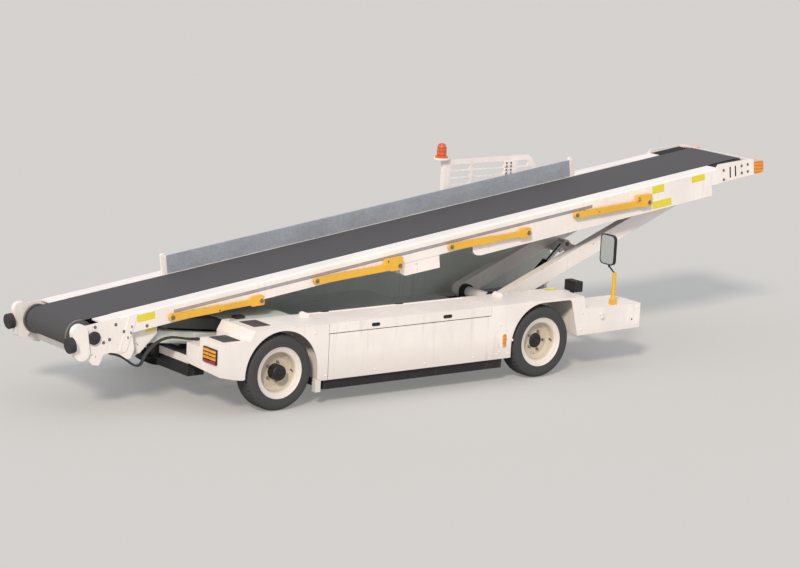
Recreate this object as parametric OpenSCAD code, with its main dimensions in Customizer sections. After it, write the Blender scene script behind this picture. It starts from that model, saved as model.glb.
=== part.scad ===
// Baggage belt loader: a low four-wheeled chassis that carries a long conveyor boom.
// The boom stands on rear link arms at its tail and on front lift arms that run in its track.
// +X is the front, +Y the left side, +Z up; the tyres stand on z = 0. Sizes are in mm.
// Chassis lengths count from the rear axle; s and h count along and across the boom's belt.

/* [Running gear] */
// distance between the two axles
wheelbase = 2630; // [2400:10:2900]
// radius of a tyre
tyre_radius = 306; // [290:1:330]
// width of a tyre over its side walls
tyre_width = 190; // [184:2:220]
// radius of the rim's flange
rim_radius = 208; // [190:1:220]
// width of a rim over its flanges
rim_width = 176; // [160:2:180]
// distance of a wheel's middle from the centre line
wheel_y = 845; // [835:1:855]
// distance of the steering pivot from the centre line
kingpin_y = 740; // [725:1:745]
// radius of the black hub cap
hub_radius = 62; // [45:1:66]
// how far a rear hub stands out from the wheel's middle
hub_out = 95; // [85:1:112]
// how far a front hub stands out from the wheel's middle
front_hub_out = 25; // [20:1:40]
// radius of the rear axle's tube
axle_radius = 42; // [35:1:45]

/* [Body] */
// distance of the outer side panels from the centre line
body_half = 960; // [955:1:990]
// distance of the right deck's inner edge from the centre line
deck_inner = 560; // [550:1:580]
// distance of the left inner wall from the centre line
wall_y = 500; // [490:1:510]
// thickness of the body's sheet
sheet = 8; // [5:1:10]
// height of the side panels' lower edge
panel_low = 212; // [205:1:230]
// height of the side decks
deck_z = 665; // [655:1:690]
// height of the low rear step
step_z = 590; // [570:1:610]
// rear face of the body behind the rear axle
rear_face = 572; // [560:1:620]
// radius of a wheel arch
arch_radius = 340; // [330:1:345]
// width of the gaps round lids and panels
panel_gap = 6; // [3:1:10]
// front end of the right deck block
block_front = 3700; // [3600:5:3850]
// height of the right deck block ahead of the wheel
block_z = 556; // [540:1:600]
// front face of the driver's place
cab_front = 3900; // [3880:5:4000]
// height of the driver's floor
floor_z = 372; // [365:1:420]
// top of the engine hood
hood_z = 900; // [870:5:950]
// height of the centre deck
centre_z = 540; // [500:1:560]
// height of the hump at the rear of the centre deck
hump_z = 650; // [620:1:655]
// height of the low ledge in front of the centre deck
ledge_z = 448; // [435:1:450]

/* [Frame] */
// lower face of the frame's rails
frame_low = 360; // [355:1:370]
// height of the frame's rails
frame_depth = 60; // [40:2:70]
// inner face of a frame rail from the centre line
frame_inner = 380; // [376:1:390]
// outer face of a frame rail from the centre line
frame_outer = 440; // [430:1:460]
// length of a cross member along the machine
member_length = 60; // [40:2:80]
// lowest face of the tanks below the side panels
tank_low = 130; // [120:1:160]

/* [Boom] */
// height of the belt above the rear axle
belt_z = 914; // [905:1:940]
// slope of the boom as it stands
pitch = 7.56; // [7:0.01:8]
// half width of the belt
belt_half = 305; // [280:1:306]
// half width of the boom over its side rails
boom_half = 460; // [455:1:465]
// thickness of the belt
belt_thick = 5; // [3:1:8]
// place of the tail roller along the belt
tail_s = -1470; // [-1500:1:-1450]
// place of the nose roller along the belt
nose_s = 5396; // [5350:1:5450]
// radius inside the belt at the tail
tail_radius = 100; // [90:1:105]
// radius inside the belt at the nose
nose_radius = 55; // [48:1:58]
// depth of a side rail below the belt
rail_depth = 145; // [140:1:150]
// front end of the side rails
rail_front = 5020; // [4990:1:5040]
// front end of the deeper track section
track_front = 4940; // [4900:1:4970]
// rear end of the deeper track section
track_rear = 2230; // [2100:5:2400]
// lower face of the track section below the belt
track_depth = 240; // [240:1:250]
// height of the guard sheet above the belt
guard_height = 150; // [100:1:250]

/* [Lift] */
// pivot of the front lift arms, from the rear axle
lift_x = 2700; // [2695:1:2705]
// height of that pivot
lift_z = 521; // [518:1:524]
// length of the front lift arms
lift_length = 2250; // [2240:1:2260]
// angle of the front lift arms as they stand
lift_angle = 21.834; // [21.7:0.001:21.95]
// depth of a front lift arm
lift_depth = 130; // [110:1:136]
// radius of the tube that the lift arms turn on
lift_tube_radius = 45; // [35:1:50]
// pivot of the rear link arms, from the rear axle
link_x = 300; // [280:1:320]
// height of that pivot
link_z = 410; // [400:1:415]
// tail pivot along the boom
pivot_s = -1050; // [-1080:1:-1020]
// depth of the tail pivot below the belt
pivot_h = 309; // [300:1:320]
// radius of the pivot pins
pin_radius = 22; // [18:1:26]
// radius of the lift cylinder's barrel
barrel_radius = 45; // [35:1:48]
// radius of the lift cylinder's rod
rod_radius = 22; // [16:1:26]

/* [Posts] */
// length of a folding post
post_length = 845; // [700:5:1000]
// place of the first post's pivot along the boom
post_first = 80; // [60:5:150]
// spacing of the posts
post_pitch = 1360; // [1300:5:1400]
// depth of the posts' pivots below the belt
post_h = 138; // [130:1:145]

/* [Hidden] */
white = [0.93, 0.91, 0.87];
black = [0.06, 0.06, 0.07];
grey = [0.55, 0.57, 0.57];
yellow = [0.93, 0.72, 0.16];
amber = [0.95, 0.45, 0.08];
steel = [0.6, 0.61, 0.63];
$fn = 48;
// how far a cutting block passes the face it cuts
bit = 1;
// gap between a piece and its seat, and round a turning pin
seat_gap = 0.3;
pin_clear = 0.05;
// what two plates share where they are welded
weld = 2;

// ends of the boom, which set the machine's length and its middle
bumper_radius = 60;
bumper_s = tail_s - 180;
bumper_h = -120;
boom_lamp_s = nose_s + 64;
boom_lamp_length = 120;
boom_lamp_low = -140;
boom_lamp_high = -30;
boom_lamp_round = 26;
tail_x = bumper_s * cos(pitch) - (bumper_h + bumper_radius) * sin(pitch);
nose_x = (boom_lamp_s + boom_lamp_length - boom_lamp_round) * cos(pitch)
  - (boom_lamp_low + boom_lamp_round) * sin(pitch) + boom_lamp_round;
centre_x = (tail_x + nose_x) / 2;

// tail pivot, and the lift cylinder between its foot and its eye on the arms
pivot_x = pivot_s * cos(pitch) + pivot_h * sin(pitch);
pivot_z = belt_z + pivot_s * sin(pitch) - pivot_h * cos(pitch);
eye_along = 991;
eye_up = 26;
eye_x = lift_x + eye_along * cos(lift_angle) - eye_up * sin(lift_angle);
eye_z = lift_z + eye_along * sin(lift_angle) + eye_up * cos(lift_angle);
foot_x = 2968;
foot_z = 330;
rod_angle = atan2(eye_z - foot_z, eye_x - foot_x);
rod_reach = sqrt(pow(eye_x - foot_x, 2) + pow(eye_z - foot_z, 2));
eye_radius = 36;
eye_half = 28;

module at_axle() {
  translate([-centre_x, 0, 0])
    children();
}

module on_boom() {
  at_axle()
    translate([0, 0, belt_z])
      rotate([0, -pitch, 0])
        children();
}

module on_arm() {
  at_axle()
    translate([lift_x, 0, lift_z])
      rotate([0, -lift_angle, 0])
        children();
}

module on_cylinder() {
  at_axle()
    translate([foot_x, 0, foot_z])
      rotate([0, -rod_angle, 0])
        children();
}

// a block between two corners
module block(low, high) {
  translate(low)
    cube(high - low);
}

// a flat shape drawn in x and z, standing between y0 and y1
module side_plate(y0, y1) {
  translate([0, y1, 0])
    rotate([90, 0, 0])
      linear_extrude(y1 - y0)
        children();
}

// a flat shape drawn in y and z, running from x0 to x1
module along_x(x0, x1) {
  translate([x0, 0, 0])
    rotate([90, 0, 90])
      linear_extrude(x1 - x0)
        children();
}

// a round bar across the machine
module bar_y(x, z, y0, y1, r) {
  translate([x, y1, z])
    rotate([90, 0, 0])
      cylinder(h = y1 - y0, r = r);
}

// a round rod from one point to another
module rod(from, to, r) {
  reach = to - from;
  translate(from)
    rotate([0, acos(reach[2] / norm(reach)), atan2(reach[1], reach[0])])
      cylinder(h = norm(reach), r = r);
}

// a round bar along the machine
module bar_x(x0, x1, y, z, r) {
  translate([x0, y, z])
    rotate([0, 90, 0])
      cylinder(h = x1 - x0, r = r);
}

// a flat rectangle with round corners
module rounded_shape(x0, z0, x1, z1, r) {
  translate([x0 + r, z0])
    square([x1 - x0 - 2 * r, z1 - z0]);
  translate([x0, z0 + r])
    square([x1 - x0, z1 - z0 - 2 * r]);
  for (x = [x0 + r, x1 - r])
    for (z = [z0 + r, z1 - r])
      translate([x, z])
        circle(r);
}

module both_sides() {
  children();
  mirror([0, 1, 0])
    children();
}

// Body sides

arch_flat = 12;
panel_rear_x = -360;
sill_rear_x = arch_radius + 32;
sill_front_x = wheelbase - arch_radius + 60;
fender_front_x = 3004;
nose_panel_x = 3060;
deck_rear_x = -255;
hump_rear_x = -197;
step_front_x = -300;
step_y = 665;
rear_ledge_z = 514;
opening_front_x = -190;
corner_y = 480;
under_z = 354;
locker_front_x = wheelbase - arch_radius - 30;

// opening round a rear wheel
module rear_arch_shape() {
  translate([0, tyre_radius])
    circle(arch_radius, $fn = 96);
  translate([-arch_radius + arch_flat, 0])
    square([2 * arch_radius - arch_flat, tyre_radius]);
}

// opening round a front wheel, longer ahead of the wheel
module front_arch_shape() {
  arch_top = tyre_radius + arch_radius;
  translate([wheelbase, tyre_radius])
    circle(arch_radius, $fn = 96);
  polygon([[wheelbase - arch_radius, 0], [fender_front_x, 0], [fender_front_x, 330],
    [2925, arch_top - 14],
    [2900, arch_top], [wheelbase, arch_top], [wheelbase, tyre_radius],
      [wheelbase - arch_radius, tyre_radius]]);
}

// outline of a body side from its rear step to the front
module side_shape(front) {
  difference() {
    polygon([[-rear_face, 331], [-440, 300], [panel_rear_x, 288], [-320, 300], [arch_radius, 232],
      [sill_rear_x, panel_low], [sill_front_x, panel_low], [3010, 330], [front, 342], [front, block_z],
      [nose_panel_x + 25, block_z], [nose_panel_x + 15, deck_z - 25], [nose_panel_x - 10, deck_z],
      [deck_rear_x, deck_z], [step_front_x, step_z], [-rear_face, step_z]]);
    rear_arch_shape();
    front_arch_shape();
  }
}

// one body side: outer wall, deck, steps, inner wall and locker ends; children are cut out of it
module side_shell(front, inner) {
  difference() {
    union() {
      side_plate(-body_half, -body_half + sheet)
        side_shape(front);
      block([deck_rear_x, -body_half + bit, deck_z - sheet], [nose_panel_x, -inner, deck_z]);
      // outer step and the lower ledge beside it
      block([-rear_face + bit, -body_half + bit, step_z - sheet], [step_front_x + 10, -step_y, step_z]);
      block([-rear_face + bit, -step_y - weld, rear_ledge_z - sheet],
        [step_front_x + 10, -corner_y, rear_ledge_z]);
      block([-rear_face + bit, -step_y - sheet, rear_ledge_z - sheet],
        [step_front_x + 10, -step_y, step_z - bit]);
      block([step_front_x, -step_y - weld, rear_ledge_z - sheet],
        [step_front_x + sheet, -corner_y, step_z]);
      for (x = [-rear_face, panel_rear_x])
        along_x(x, x + sheet)
          polygon([[-body_half + bit, 331], [-corner_y, under_z], [-corner_y, rear_ledge_z],
            [-step_y, rear_ledge_z], [-step_y, step_z], [-body_half + bit, step_z]]);
      // sloped riser between the step and the deck
      side_plate(-body_half + bit, -corner_y)
        polygon([[step_front_x, step_z], [deck_rear_x, deck_z], [deck_rear_x + 15, deck_z],
          [deck_rear_x + 15, deck_z - sheet], [deck_rear_x + 5, deck_z - sheet],
          [step_front_x + 12, step_z - sheet], [step_front_x, step_z - sheet]]);
      // wall beside the rear opening
      side_plate(-corner_y - sheet, -corner_y)
        polygon([[-rear_face, under_z], [opening_front_x, under_z], [opening_front_x, deck_z],
          [deck_rear_x, deck_z],
          [step_front_x, step_z], [step_front_x, rear_ledge_z], [-rear_face, rear_ledge_z]]);
      block([deck_rear_x, -inner - 20, deck_z - 90], [deck_rear_x + sheet, -corner_y, deck_z]);
      block([deck_rear_x, -inner - sheet, 392], [nose_panel_x, -inner, deck_z - bit]);
      for (x = [sill_rear_x, locker_front_x])
        block([x, -body_half + bit, panel_low + bit], [x + sheet, -inner - bit, deck_z - bit]);
      block([fender_front_x, -body_half + bit, 335],
        [fender_front_x + sheet, -inner - bit, deck_z - bit]);
    }
    children();
  }
}

lid_x0 = 440;
lid_x1 = 2060;
lid_low = 586;
lid_inner = deck_inner + 36;
lid_hinge_radius = 5;
hood_hinge_radius = 3.5;
locker_inner = deck_inner + 30;
lug_y0 = 690;
lug_y1 = 620;
lug_radius = 28;
block_inner = 600;
beam_low = 340;
beam_z = 400;

module body_right() {
  color(white)
    at_axle() {
      side_shell(block_front, deck_inner)
        block([lid_x0 - panel_gap, -body_half - bit, lid_low - panel_gap],
          [lid_x1 + panel_gap, -locker_inner, deck_z + bit]);
      // strips that the closed lid lies against
      block([lid_x0 - 20, -body_half + sheet + seat_gap, lid_low - 26],
        [lid_x1 + 20, -body_half + 2 * sheet, lid_low + 40]);
      block([lid_x0 - 20, -body_half + sheet - weld, lid_low - 26],
        [lid_x1 + 20, -body_half + 2 * sheet, lid_low - panel_gap - bit]);
      // deck block ahead of the wheel
      block([nose_panel_x - 8, -body_half + bit, block_z - sheet],
        [block_front - bit, -block_inner, block_z]);
      block([block_front - sheet, -body_half + bit, 342], [block_front, -block_inner, block_z - bit]);
      block([nose_panel_x - 8, -block_inner - sheet, 342],
        [block_front - bit, -block_inner, block_z - bit]);
      block([nose_panel_x - sheet, -body_half + bit, block_z - 20],
        [nose_panel_x, -deck_inner, deck_z - bit]);
      // small block under the sill's rear corner
      block([sill_rear_x - 42, -body_half + sheet - weld, 120],
        [sill_rear_x + sheet, -body_half + 55, panel_low + 13]);
      // lugs at the deck's inner edge
      for (x = [lid_x0 - lug_radius - 8, locker_front_x + 104])
        bar_y(x, deck_z + 8, -lug_y0, -lug_y1, lug_radius);
      // beam across the rear, below the opening for the boom's link arms
      block([-rear_face + 14, -corner_y - weld, beam_low],
        [-rear_face + 22, corner_y - seat_gap, beam_z]);
      block([-rear_face + 14, -corner_y - weld, beam_z - sheet],
        [frame_rear_x - seat_gap, corner_y - seat_gap, beam_z]);
    }
}

module lid_right() {
  color(white)
    at_axle() {
      block([lid_x0, -body_half, lid_low], [lid_x1, -body_half + sheet, deck_z]);
      block([lid_x0, -body_half + bit, deck_z - sheet], [lid_x1, -lid_inner, deck_z]);
      for (x = [lid_x0, lid_x1 - sheet])
        block([x, -body_half + 2 * sheet + panel_gap, lid_low + 50],
          [x + sheet, -lid_inner, deck_z - bit]);
      bar_x(lid_x0 + 20, lid_x1 - 20, -lid_inner, deck_z, lid_hinge_radius);
    }
}

module body_left() {
  color(white)
    at_axle()
      mirror([0, 1, 0])
        side_shell(nose_panel_x + 30, wall_y + sheet + seat_gap)
          block([hood_x0 + 20, -body_half + 20, deck_z - 20], [hood_x1 - 20, -wall_y - 30, deck_z + bit]);
}

hood_x0 = 420;
hood_x1 = 2240;
hood_inner = wall_y + sheet + 4;
hood_outer = body_half - 10;
hood_slope = 90;

louvre_pitch = 90;
louvre_count = 7;

// engine hood over the left side deck, hinged along its top inner edge
module engine_hood() {
  louvre_x = hood_x0 + 160;
  color(white)
    at_axle() {
      bar_x(hood_x0 + 20, hood_x1 - 20, hood_inner, hood_z, hood_hinge_radius);
      difference() {
        along_x(hood_x0, hood_x1)
          polygon([[hood_inner, deck_z + seat_gap], [hood_outer, deck_z + seat_gap],
            [hood_outer, hood_z - hood_slope], [hood_outer - hood_slope, hood_z], [hood_inner, hood_z]]);
        along_x(hood_x0 + sheet, hood_x1 - sheet)
          polygon([[hood_inner - bit, deck_z], [hood_outer - sheet, deck_z],
            [hood_outer - sheet, hood_z - hood_slope - sheet / 2],
            [hood_outer - hood_slope - sheet / 2, hood_z - sheet], [hood_inner - bit, hood_z - sheet]]);
        // louvres in the outer side
        for (n = [0 : louvre_count - 1])
          block([louvre_x + n * louvre_pitch, hood_outer - 20, deck_z + 40],
            [louvre_x + n * louvre_pitch + 50, hood_outer + bit, deck_z + 52]);
      }
    }
}

engine_x = 900;
engine_length = 700;

module engine_block() {
  color(grey)
    at_axle()
      block([engine_x, wall_y + 110, outrigger_z + seat_gap],
        [engine_x + engine_length, body_half - 80, hood_z - 50]);
}

hump_front_x = 380;
centre_front_x = 1850;
ledge_front_x = 2600;

// grey sheets between the side decks, with the tall wall on the driver's side
module centre_deck() {
  near = -deck_inner + seat_gap;
  far = wall_y + weld;
  color(grey)
    at_axle() {
      block([hump_rear_x + seat_gap, -corner_y + seat_gap, hump_z - sheet],
        [hump_front_x, corner_y - seat_gap, hump_z]);
      block([opening_front_x + seat_gap, near, hump_z - sheet], [hump_front_x, far, hump_z]);
      block([hump_front_x - sheet, near, centre_z - sheet], [hump_front_x, far, hump_z - bit]);
      block([hump_front_x - sheet, near, centre_z - sheet], [centre_front_x, far, centre_z]);
      block([centre_front_x - sheet, near, ledge_z - sheet], [centre_front_x, far, centre_z - bit]);
      block([centre_front_x - sheet, near, ledge_z - sheet], [ledge_front_x, far, ledge_z]);
      block([hump_front_x - sheet, wall_y, ledge_z - sheet], [cab_front, wall_y + sheet, hood_z]);
    }
}

// Frame and axles

outrigger_low = 290;
outrigger_z = 380;
tank_z = 300;
tank_inner = 620;
tank_outer = body_half - 30;
tank_x0 = sill_rear_x + sheet + seat_gap;
tank_x1 = locker_front_x - seat_gap;
frame_rear_x = -548;
frame_front_x = 3640;
frame_z = frame_low + frame_depth;
foot_member_x = 2850;
lug_thick = 14;

module member(x, length) {
  block([x, -frame_inner - weld, frame_low + bit], [x + length, frame_inner + weld, frame_z - bit]);
}

module chassis_frame() {
  color(black)
    at_axle()
      difference() {
        union() {
          both_sides() {
            block([frame_rear_x, -frame_outer, frame_low], [frame_front_x, -frame_inner, frame_z]);
            // tanks below the side panels and the outriggers that carry the body
            block([tank_x0 + 40, -tank_outer, tank_low], [tank_x1 - 40, -tank_inner, tank_z]);
            for (x = [tank_x0, 1000, 1600, tank_x1 - member_length])
              block([x, -tank_outer, outrigger_low],
                [x + member_length, -frame_inner - weld, outrigger_z]);
            // plates that hold the link arms' pin
            side_plate(-frame_inner - weld, -frame_inner + lug_thick)
              polygon([[link_x - 60, frame_low], [link_x + 60, frame_low], [link_x + 40, link_z + 45],
                [link_x - 40, link_z + 45]]);
            // bearings of the lift tube
            side_plate(-205, -150) {
              polygon([[lift_x - 70, frame_low + 10], [lift_x + 70, frame_low + 10],
                [lift_x + 60, lift_z], [lift_x - 60, lift_z]]);
              translate([lift_x, lift_z])
                circle(lift_tube_radius + 17);
            }
            // lugs beside the lift cylinder's foot
            side_plate(-eye_half - lug_thick - 2, -eye_half - 2) {
              translate([foot_x, foot_z])
                circle(eye_radius);
              polygon([[foot_member_x + 10, frame_z - 10], [foot_member_x + 10, frame_low + 5],
                [foot_x, foot_z - eye_radius], [foot_x, foot_z + eye_radius]]);
            }
          }
          for (x = [frame_rear_x, 1000, 2060, foot_member_x, frame_front_x - member_length])
            member(x, member_length);
          member(lift_x - 70, 140);
          // outriggers under the driver's floor and behind the right deck block
          for (x = [3300, frame_front_x - member_length]) {
            block([x, frame_outer - 20, 300],
              [x + member_length, body_half - 20, floor_z - 20 - seat_gap]);
            block([x, frame_outer - weld, 300], [x + member_length, wall_y - 20, frame_z - 20]);
            block([x, -block_inner + seat_gap, frame_low],
              [x + member_length, -frame_outer + weld, frame_z - 20]);
          }
          // dark box below the rear beam
          block([frame_rear_x, -rear_box_y, rear_box_low], [rear_box_x, -10, frame_low + 5]);
          // tow hitch: two plates with a bore for the pin that a tow bar's eye hangs on
          for (z = [tow_low, frame_z - tow_plate])
            block([tow_x - 40, -tow_half, z], [frame_rear_x + weld, tow_half, z + tow_plate]);
          block([tow_x + 60, -tow_half, tow_low + weld],
            [-rear_face + 14 - seat_gap, tow_half, frame_z - weld]);
        }
        translate([tow_x, 0, tow_low - bit])
          cylinder(h = frame_z - tow_low + 2 * bit, r = tow_bore_radius);
        bar_y(link_x, link_z, -frame_inner - bit, frame_inner + bit, pin_radius + pin_clear);
        bar_y(lift_x, lift_z, -210, 210, lift_tube_radius + pin_clear);
      }
}

rear_box_x = -400;
rear_box_y = 470;
rear_box_low = 235;
tow_bore_radius = 14.5;
tow_x = -660;
tow_low = 300;
tow_half = 60;
tow_plate = 16;
pack_half = 300;
pack_width = 50;
hub_face = 40;
drum_radius = 130;
drum_inner = 740;

module spring_pack(x, low) {
  both_sides() {
    block([x - pack_half, -frame_inner - 5 - pack_width, frame_low - 14],
      [x + pack_half, -frame_inner - 5,
      frame_low - seat_gap]);
    block([x - 45, -frame_inner - 5 - pack_width, low], [x + 45, -frame_inner - 5, frame_low - 12]);
  }
}

module rear_axle() {
  hub_y = wheel_y - hub_face - seat_gap;
  color(black)
    at_axle() {
      bar_y(0, tyre_radius, -hub_y, hub_y, axle_radius);
      both_sides()
        bar_y(0, tyre_radius, -hub_y + 12, -drum_inner, drum_radius);
      translate([0, 0, tyre_radius])
        rotate([0, 90, 0])
          rotate_extrude()
            polygon([[0, -130], [70, -120], [115, -60], [125, 0], [115, 60], [60, 150], [0, 160]]);
      spring_pack(0, tyre_radius);
    }
}

yoke_low = tyre_radius - 110;
yoke_high = tyre_radius + 110;
yoke_thick = 24;
king_radius = 18;
knuckle_radius = 38;

module front_axle() {
  color(black)
    at_axle() {
      block([wheelbase - 45, -kingpin_y + 60, 240], [wheelbase + 45, kingpin_y - 60, 316]);
      spring_pack(wheelbase, 300);
      both_sides()
        difference() {
          union() {
            block([wheelbase - 35, -kingpin_y + 44, yoke_low],
              [wheelbase + 35, -kingpin_y + 68, yoke_high]);
            for (z = [yoke_low, yoke_high - yoke_thick]) {
              translate([wheelbase, -kingpin_y, z])
                cylinder(h = yoke_thick, r = 30);
              block([wheelbase - 30, -kingpin_y, z], [wheelbase + 30, -kingpin_y + 60, z + yoke_thick]);
            }
          }
          translate([wheelbase, -kingpin_y, yoke_low - bit])
            cylinder(h = yoke_high - yoke_low + 2 * bit, r = king_radius + pin_clear);
        }
    }
}

module knuckle(side) {
  body_low = yoke_low + yoke_thick + 0.5;
  body_high = yoke_high - yoke_thick - 0.5;
  hub_y = wheel_y - hub_face - seat_gap;
  color(black)
    at_axle()
      mirror([0, side < 0 ? 0 : 1, 0]) {
        translate([wheelbase, -kingpin_y, yoke_low])
          cylinder(h = yoke_high - yoke_low, r = king_radius);
        translate([wheelbase, -kingpin_y, body_low])
          cylinder(h = body_high - body_low, r = knuckle_radius);
        bar_y(wheelbase, tyre_radius, -hub_y, -kingpin_y, 40);
        bar_y(wheelbase, tyre_radius, -hub_y + 2, -kingpin_y - 40, 84);
      }
}

module knuckle_right() {
  knuckle(-1);
}

module knuckle_left() {
  knuckle(1);
}

// Wheels

bead = 12;

// steel wheel: hub, dished disc and rim; its outer side faces away from the machine
module wheel_disc(x, side, hub) {
  flange = rim_width / 2;
  well = rim_radius - 28;
  at_axle()
    translate([x, side * wheel_y, tyre_radius])
      rotate([-side * 90, 0, 0])
        rotate_extrude()
          polygon([[0, -hub_face], [hub_radius, -hub_face], [hub_radius, -2], [95, -2], [122, -6],
            [well - 8, 10],
            [well - 8, -flange + 26], [rim_radius - 12, -flange + 8], [rim_radius - 4, -flange],
            [rim_radius, -flange], [rim_radius, -flange + 6], [rim_radius - 10, -flange + 16],
            [well, -flange + 28], [well, flange - 28], [rim_radius - 10, flange - 16],
            [rim_radius, flange - 6], [rim_radius, flange], [rim_radius - 4, flange + 3],
            [rim_radius - 11, flange - 3], [rim_radius - 42, flange - 14], [rim_radius - 50, flange - 26],
            [rim_radius - 58, 24], [120, 8], [95, 12], [hub_radius, 12], [hub_radius, hub - 12],
            [hub_radius - 6, hub - 4], [hub_radius - 20, hub], [0, hub]]);
}

module tyre(x, side) {
  half = tyre_width / 2;
  flange = rim_width / 2;
  inside = rim_radius - 9.4;
  at_axle()
    translate([x, side * wheel_y, tyre_radius])
      rotate([-side * 90, 0, 0])
        rotate_extrude()
          polygon([[inside, -flange + bead + 4], [rim_radius + 0.4, -flange + 5.8],
            [rim_radius + 0.4, -flange - 3],
            [rim_radius + 14, -half + 2], [rim_radius + 40, -half], [tyre_radius - 24, -half + 5],
            [tyre_radius - 9, -half + 18], [tyre_radius - 2, -half + 36], [tyre_radius, -half + 60],
            [tyre_radius, half - 60], [tyre_radius - 2, half - 36], [tyre_radius - 9, half - 18],
            [tyre_radius - 24, half - 5], [rim_radius + 40, half], [rim_radius + 14, half - 2],
            [rim_radius + 0.4, flange + 3], [rim_radius + 0.4, flange - 5.8],
              [inside, flange - bead - 4]]);
}

module wheel_rear_right() {
  color(white)
    wheel_disc(0, -1, hub_out);
}

module wheel_rear_left() {
  color(white)
    wheel_disc(0, 1, hub_out);
}

module wheel_front_right() {
  color(white)
    wheel_disc(wheelbase, -1, front_hub_out);
}

module wheel_front_left() {
  color(white)
    wheel_disc(wheelbase, 1, front_hub_out);
}

module tyre_rear_right() {
  color(black)
    tyre(0, -1);
}

module tyre_rear_left() {
  color(black)
    tyre(0, 1);
}

module tyre_front_right() {
  color(black)
    tyre(wheelbase, -1);
}

module tyre_front_left() {
  color(black)
    tyre(wheelbase, 1);
}

// Driver's place

cab_rear_x = nose_panel_x + 40;
cab_inner = wall_y + sheet + seat_gap;
dash_inner = wall_y + 2 * sheet + 4 + seat_gap;
dash_z = 980;
dash_low = 850;
dash_rear_x = cab_front - 260;
wheel_place = [3620, 730, 900];
wheel_tilt = -35;
column_length = 200;
column_radius = 25;
seat_x0 = 2560;
seat_x1 = 2990;
seat_y0 = 570;
seat_y1 = body_half - 45;
seat_z = 760;
cushion_thick = 90;
back_z = 1160;

// floor with its pedals, and the seat's box on the deck behind it
module driver_floor() {
  color(black)
    at_axle() {
      block([cab_rear_x, cab_inner, floor_z - 20],
        [cab_front - 30 - seat_gap, body_half - sheet - seat_gap, floor_z]);
      for (y = [640, 800])
        side_plate(y, y + 70)
          polygon([[cab_front - 110, floor_z - 4], [cab_front - 90, floor_z - 4],
            [cab_front - 70, floor_z + 130],
            [cab_front - 90, floor_z + 130]]);
      block([seat_x0 + 20, seat_y0 + 20, deck_z + seat_gap], [seat_x1 - 30, seat_y1 - 20, seat_z]);
      block([seat_x0 - 84, seat_y0 + 120, seat_z - 30], [seat_x0 + 40, seat_y1 - 120, seat_z - 10]);
      block([seat_x0 - 84, seat_y0 + 120, seat_z - 30], [seat_x0 - 72, seat_y1 - 120, back_z - 120]);
    }
}

// front panel, sill and dash of the driver's place, with the steering column
module dash_panel() {
  color(white)
    at_axle() {
      block([cab_front - 30, dash_inner, 300], [cab_front, body_half, dash_z - 40]);
      side_plate(dash_inner, body_half)
        polygon([[dash_rear_x, dash_low], [cab_front - bit, dash_low], [cab_front - bit, dash_z - 60],
          [cab_front - 60, dash_z], [dash_rear_x + 60, dash_z], [dash_rear_x, dash_z - 60]]);
      block([cab_rear_x, body_half - sheet, 300], [cab_front - bit, body_half, floor_z + 60]);
      translate(wheel_place)
        rotate([0, wheel_tilt, 0])
          translate([0, 0, -60])
            cylinder(h = column_length + 60, r = column_radius);
    }
}

module steering_wheel() {
  rim = 180;
  grip = 14;
  color(black)
    at_axle()
      translate(wheel_place)
        rotate([0, wheel_tilt, 0])
          translate([0, 0, column_length + seat_gap]) {
            translate([0, 0, 16])
              rotate_extrude()
                translate([rim, 0])
                  circle(grip);
            cylinder(h = 30, r = 48);
            for (a = [60, 180, 300])
              rotate([0, 0, a])
                block([20, -14, 10], [rim, 14, 20]);
          }
}

module seat_pads() {
  back_x = seat_x0 - 70;
  color(black)
    at_axle() {
      side_plate(seat_y0, seat_y1)
        rounded_shape(seat_x0, seat_z + seat_gap, seat_x1, seat_z + cushion_thick, 30);
      side_plate(seat_y0 + 10, seat_y1 - 10)
        rounded_shape(back_x - 2 + seat_gap, seat_z + cushion_thick + 6, back_x + 66, back_z, 30);
    }
}

guard_x0 = 2707;
guard_z = 1620;
guard_y = wall_y + sheet + 4;
guard_edge_x = 3608;
guard_lean = 0.762;
slot_first_z = 1550;
slot_step = 62.5;
slot_high = 48;

// a slot with round ends from x0 to x1, with its middle at height z
module slot_shape(x0, x1, z) {
  r = slot_high / 2;
  polygon(concat(
    [for (a = [-90 : 22.5 : 90]) [x1 - r + r * cos(a), z + r * sin(a)]],
    [for (a = [90 : 22.5 : 270]) [x0 + r + r * cos(a), z + r * sin(a)]]));
}

// slotted guard beside the driver, on a post that carries the beacon
module slotted_guard() {
  function edge_x(z) = guard_edge_x + (guard_z - z) * guard_lean;
  color(white)
    at_axle() {
      difference() {
        side_plate(guard_y, guard_y + sheet)
          polygon([[guard_x0 - 10, hood_z - 60], [cab_front - 40, hood_z - 60], [cab_front - 40, 1200],
            [edge_x(1290), 1290], [edge_x(guard_z) + 4, guard_z - 14], [edge_x(guard_z) - 16, guard_z],
            [guard_x0 - 10, guard_z]]);
        // columns of slots: rear end, front end
        for (row = [0 : 5])
          for (column = [[2718, 2933], [2967, 3316], [3465, edge_x(slot_first_z - row * slot_step) - 76]])
            side_plate(guard_y - bit, guard_y + sheet + bit)
              slot_shape(column[0], column[1], slot_first_z - row * slot_step);
      }
      block([guard_x0 - 60, guard_y - 4 + seat_gap, hood_z - 60], [guard_x0, guard_y + 50, guard_z + 6]);
      // hinge plates on the side towards the boom, on the two upper bars
      for (z = [slot_first_z - 5, slot_first_z - 5 - slot_step])
        block([3322, guard_y - 6, z - 24], [3400, guard_y + weld, z + 24]);
      block([3410, guard_y - 4, slot_first_z - 90], [3453, guard_y + weld, slot_first_z + 34]);
      // round plate under the beacon
      translate([beacon_x, guard_y + 23, guard_z + 4])
        cylinder(h = 16, r = 72);
    }
}

beacon_x = 2628;
beacon_radius = 44;

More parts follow.
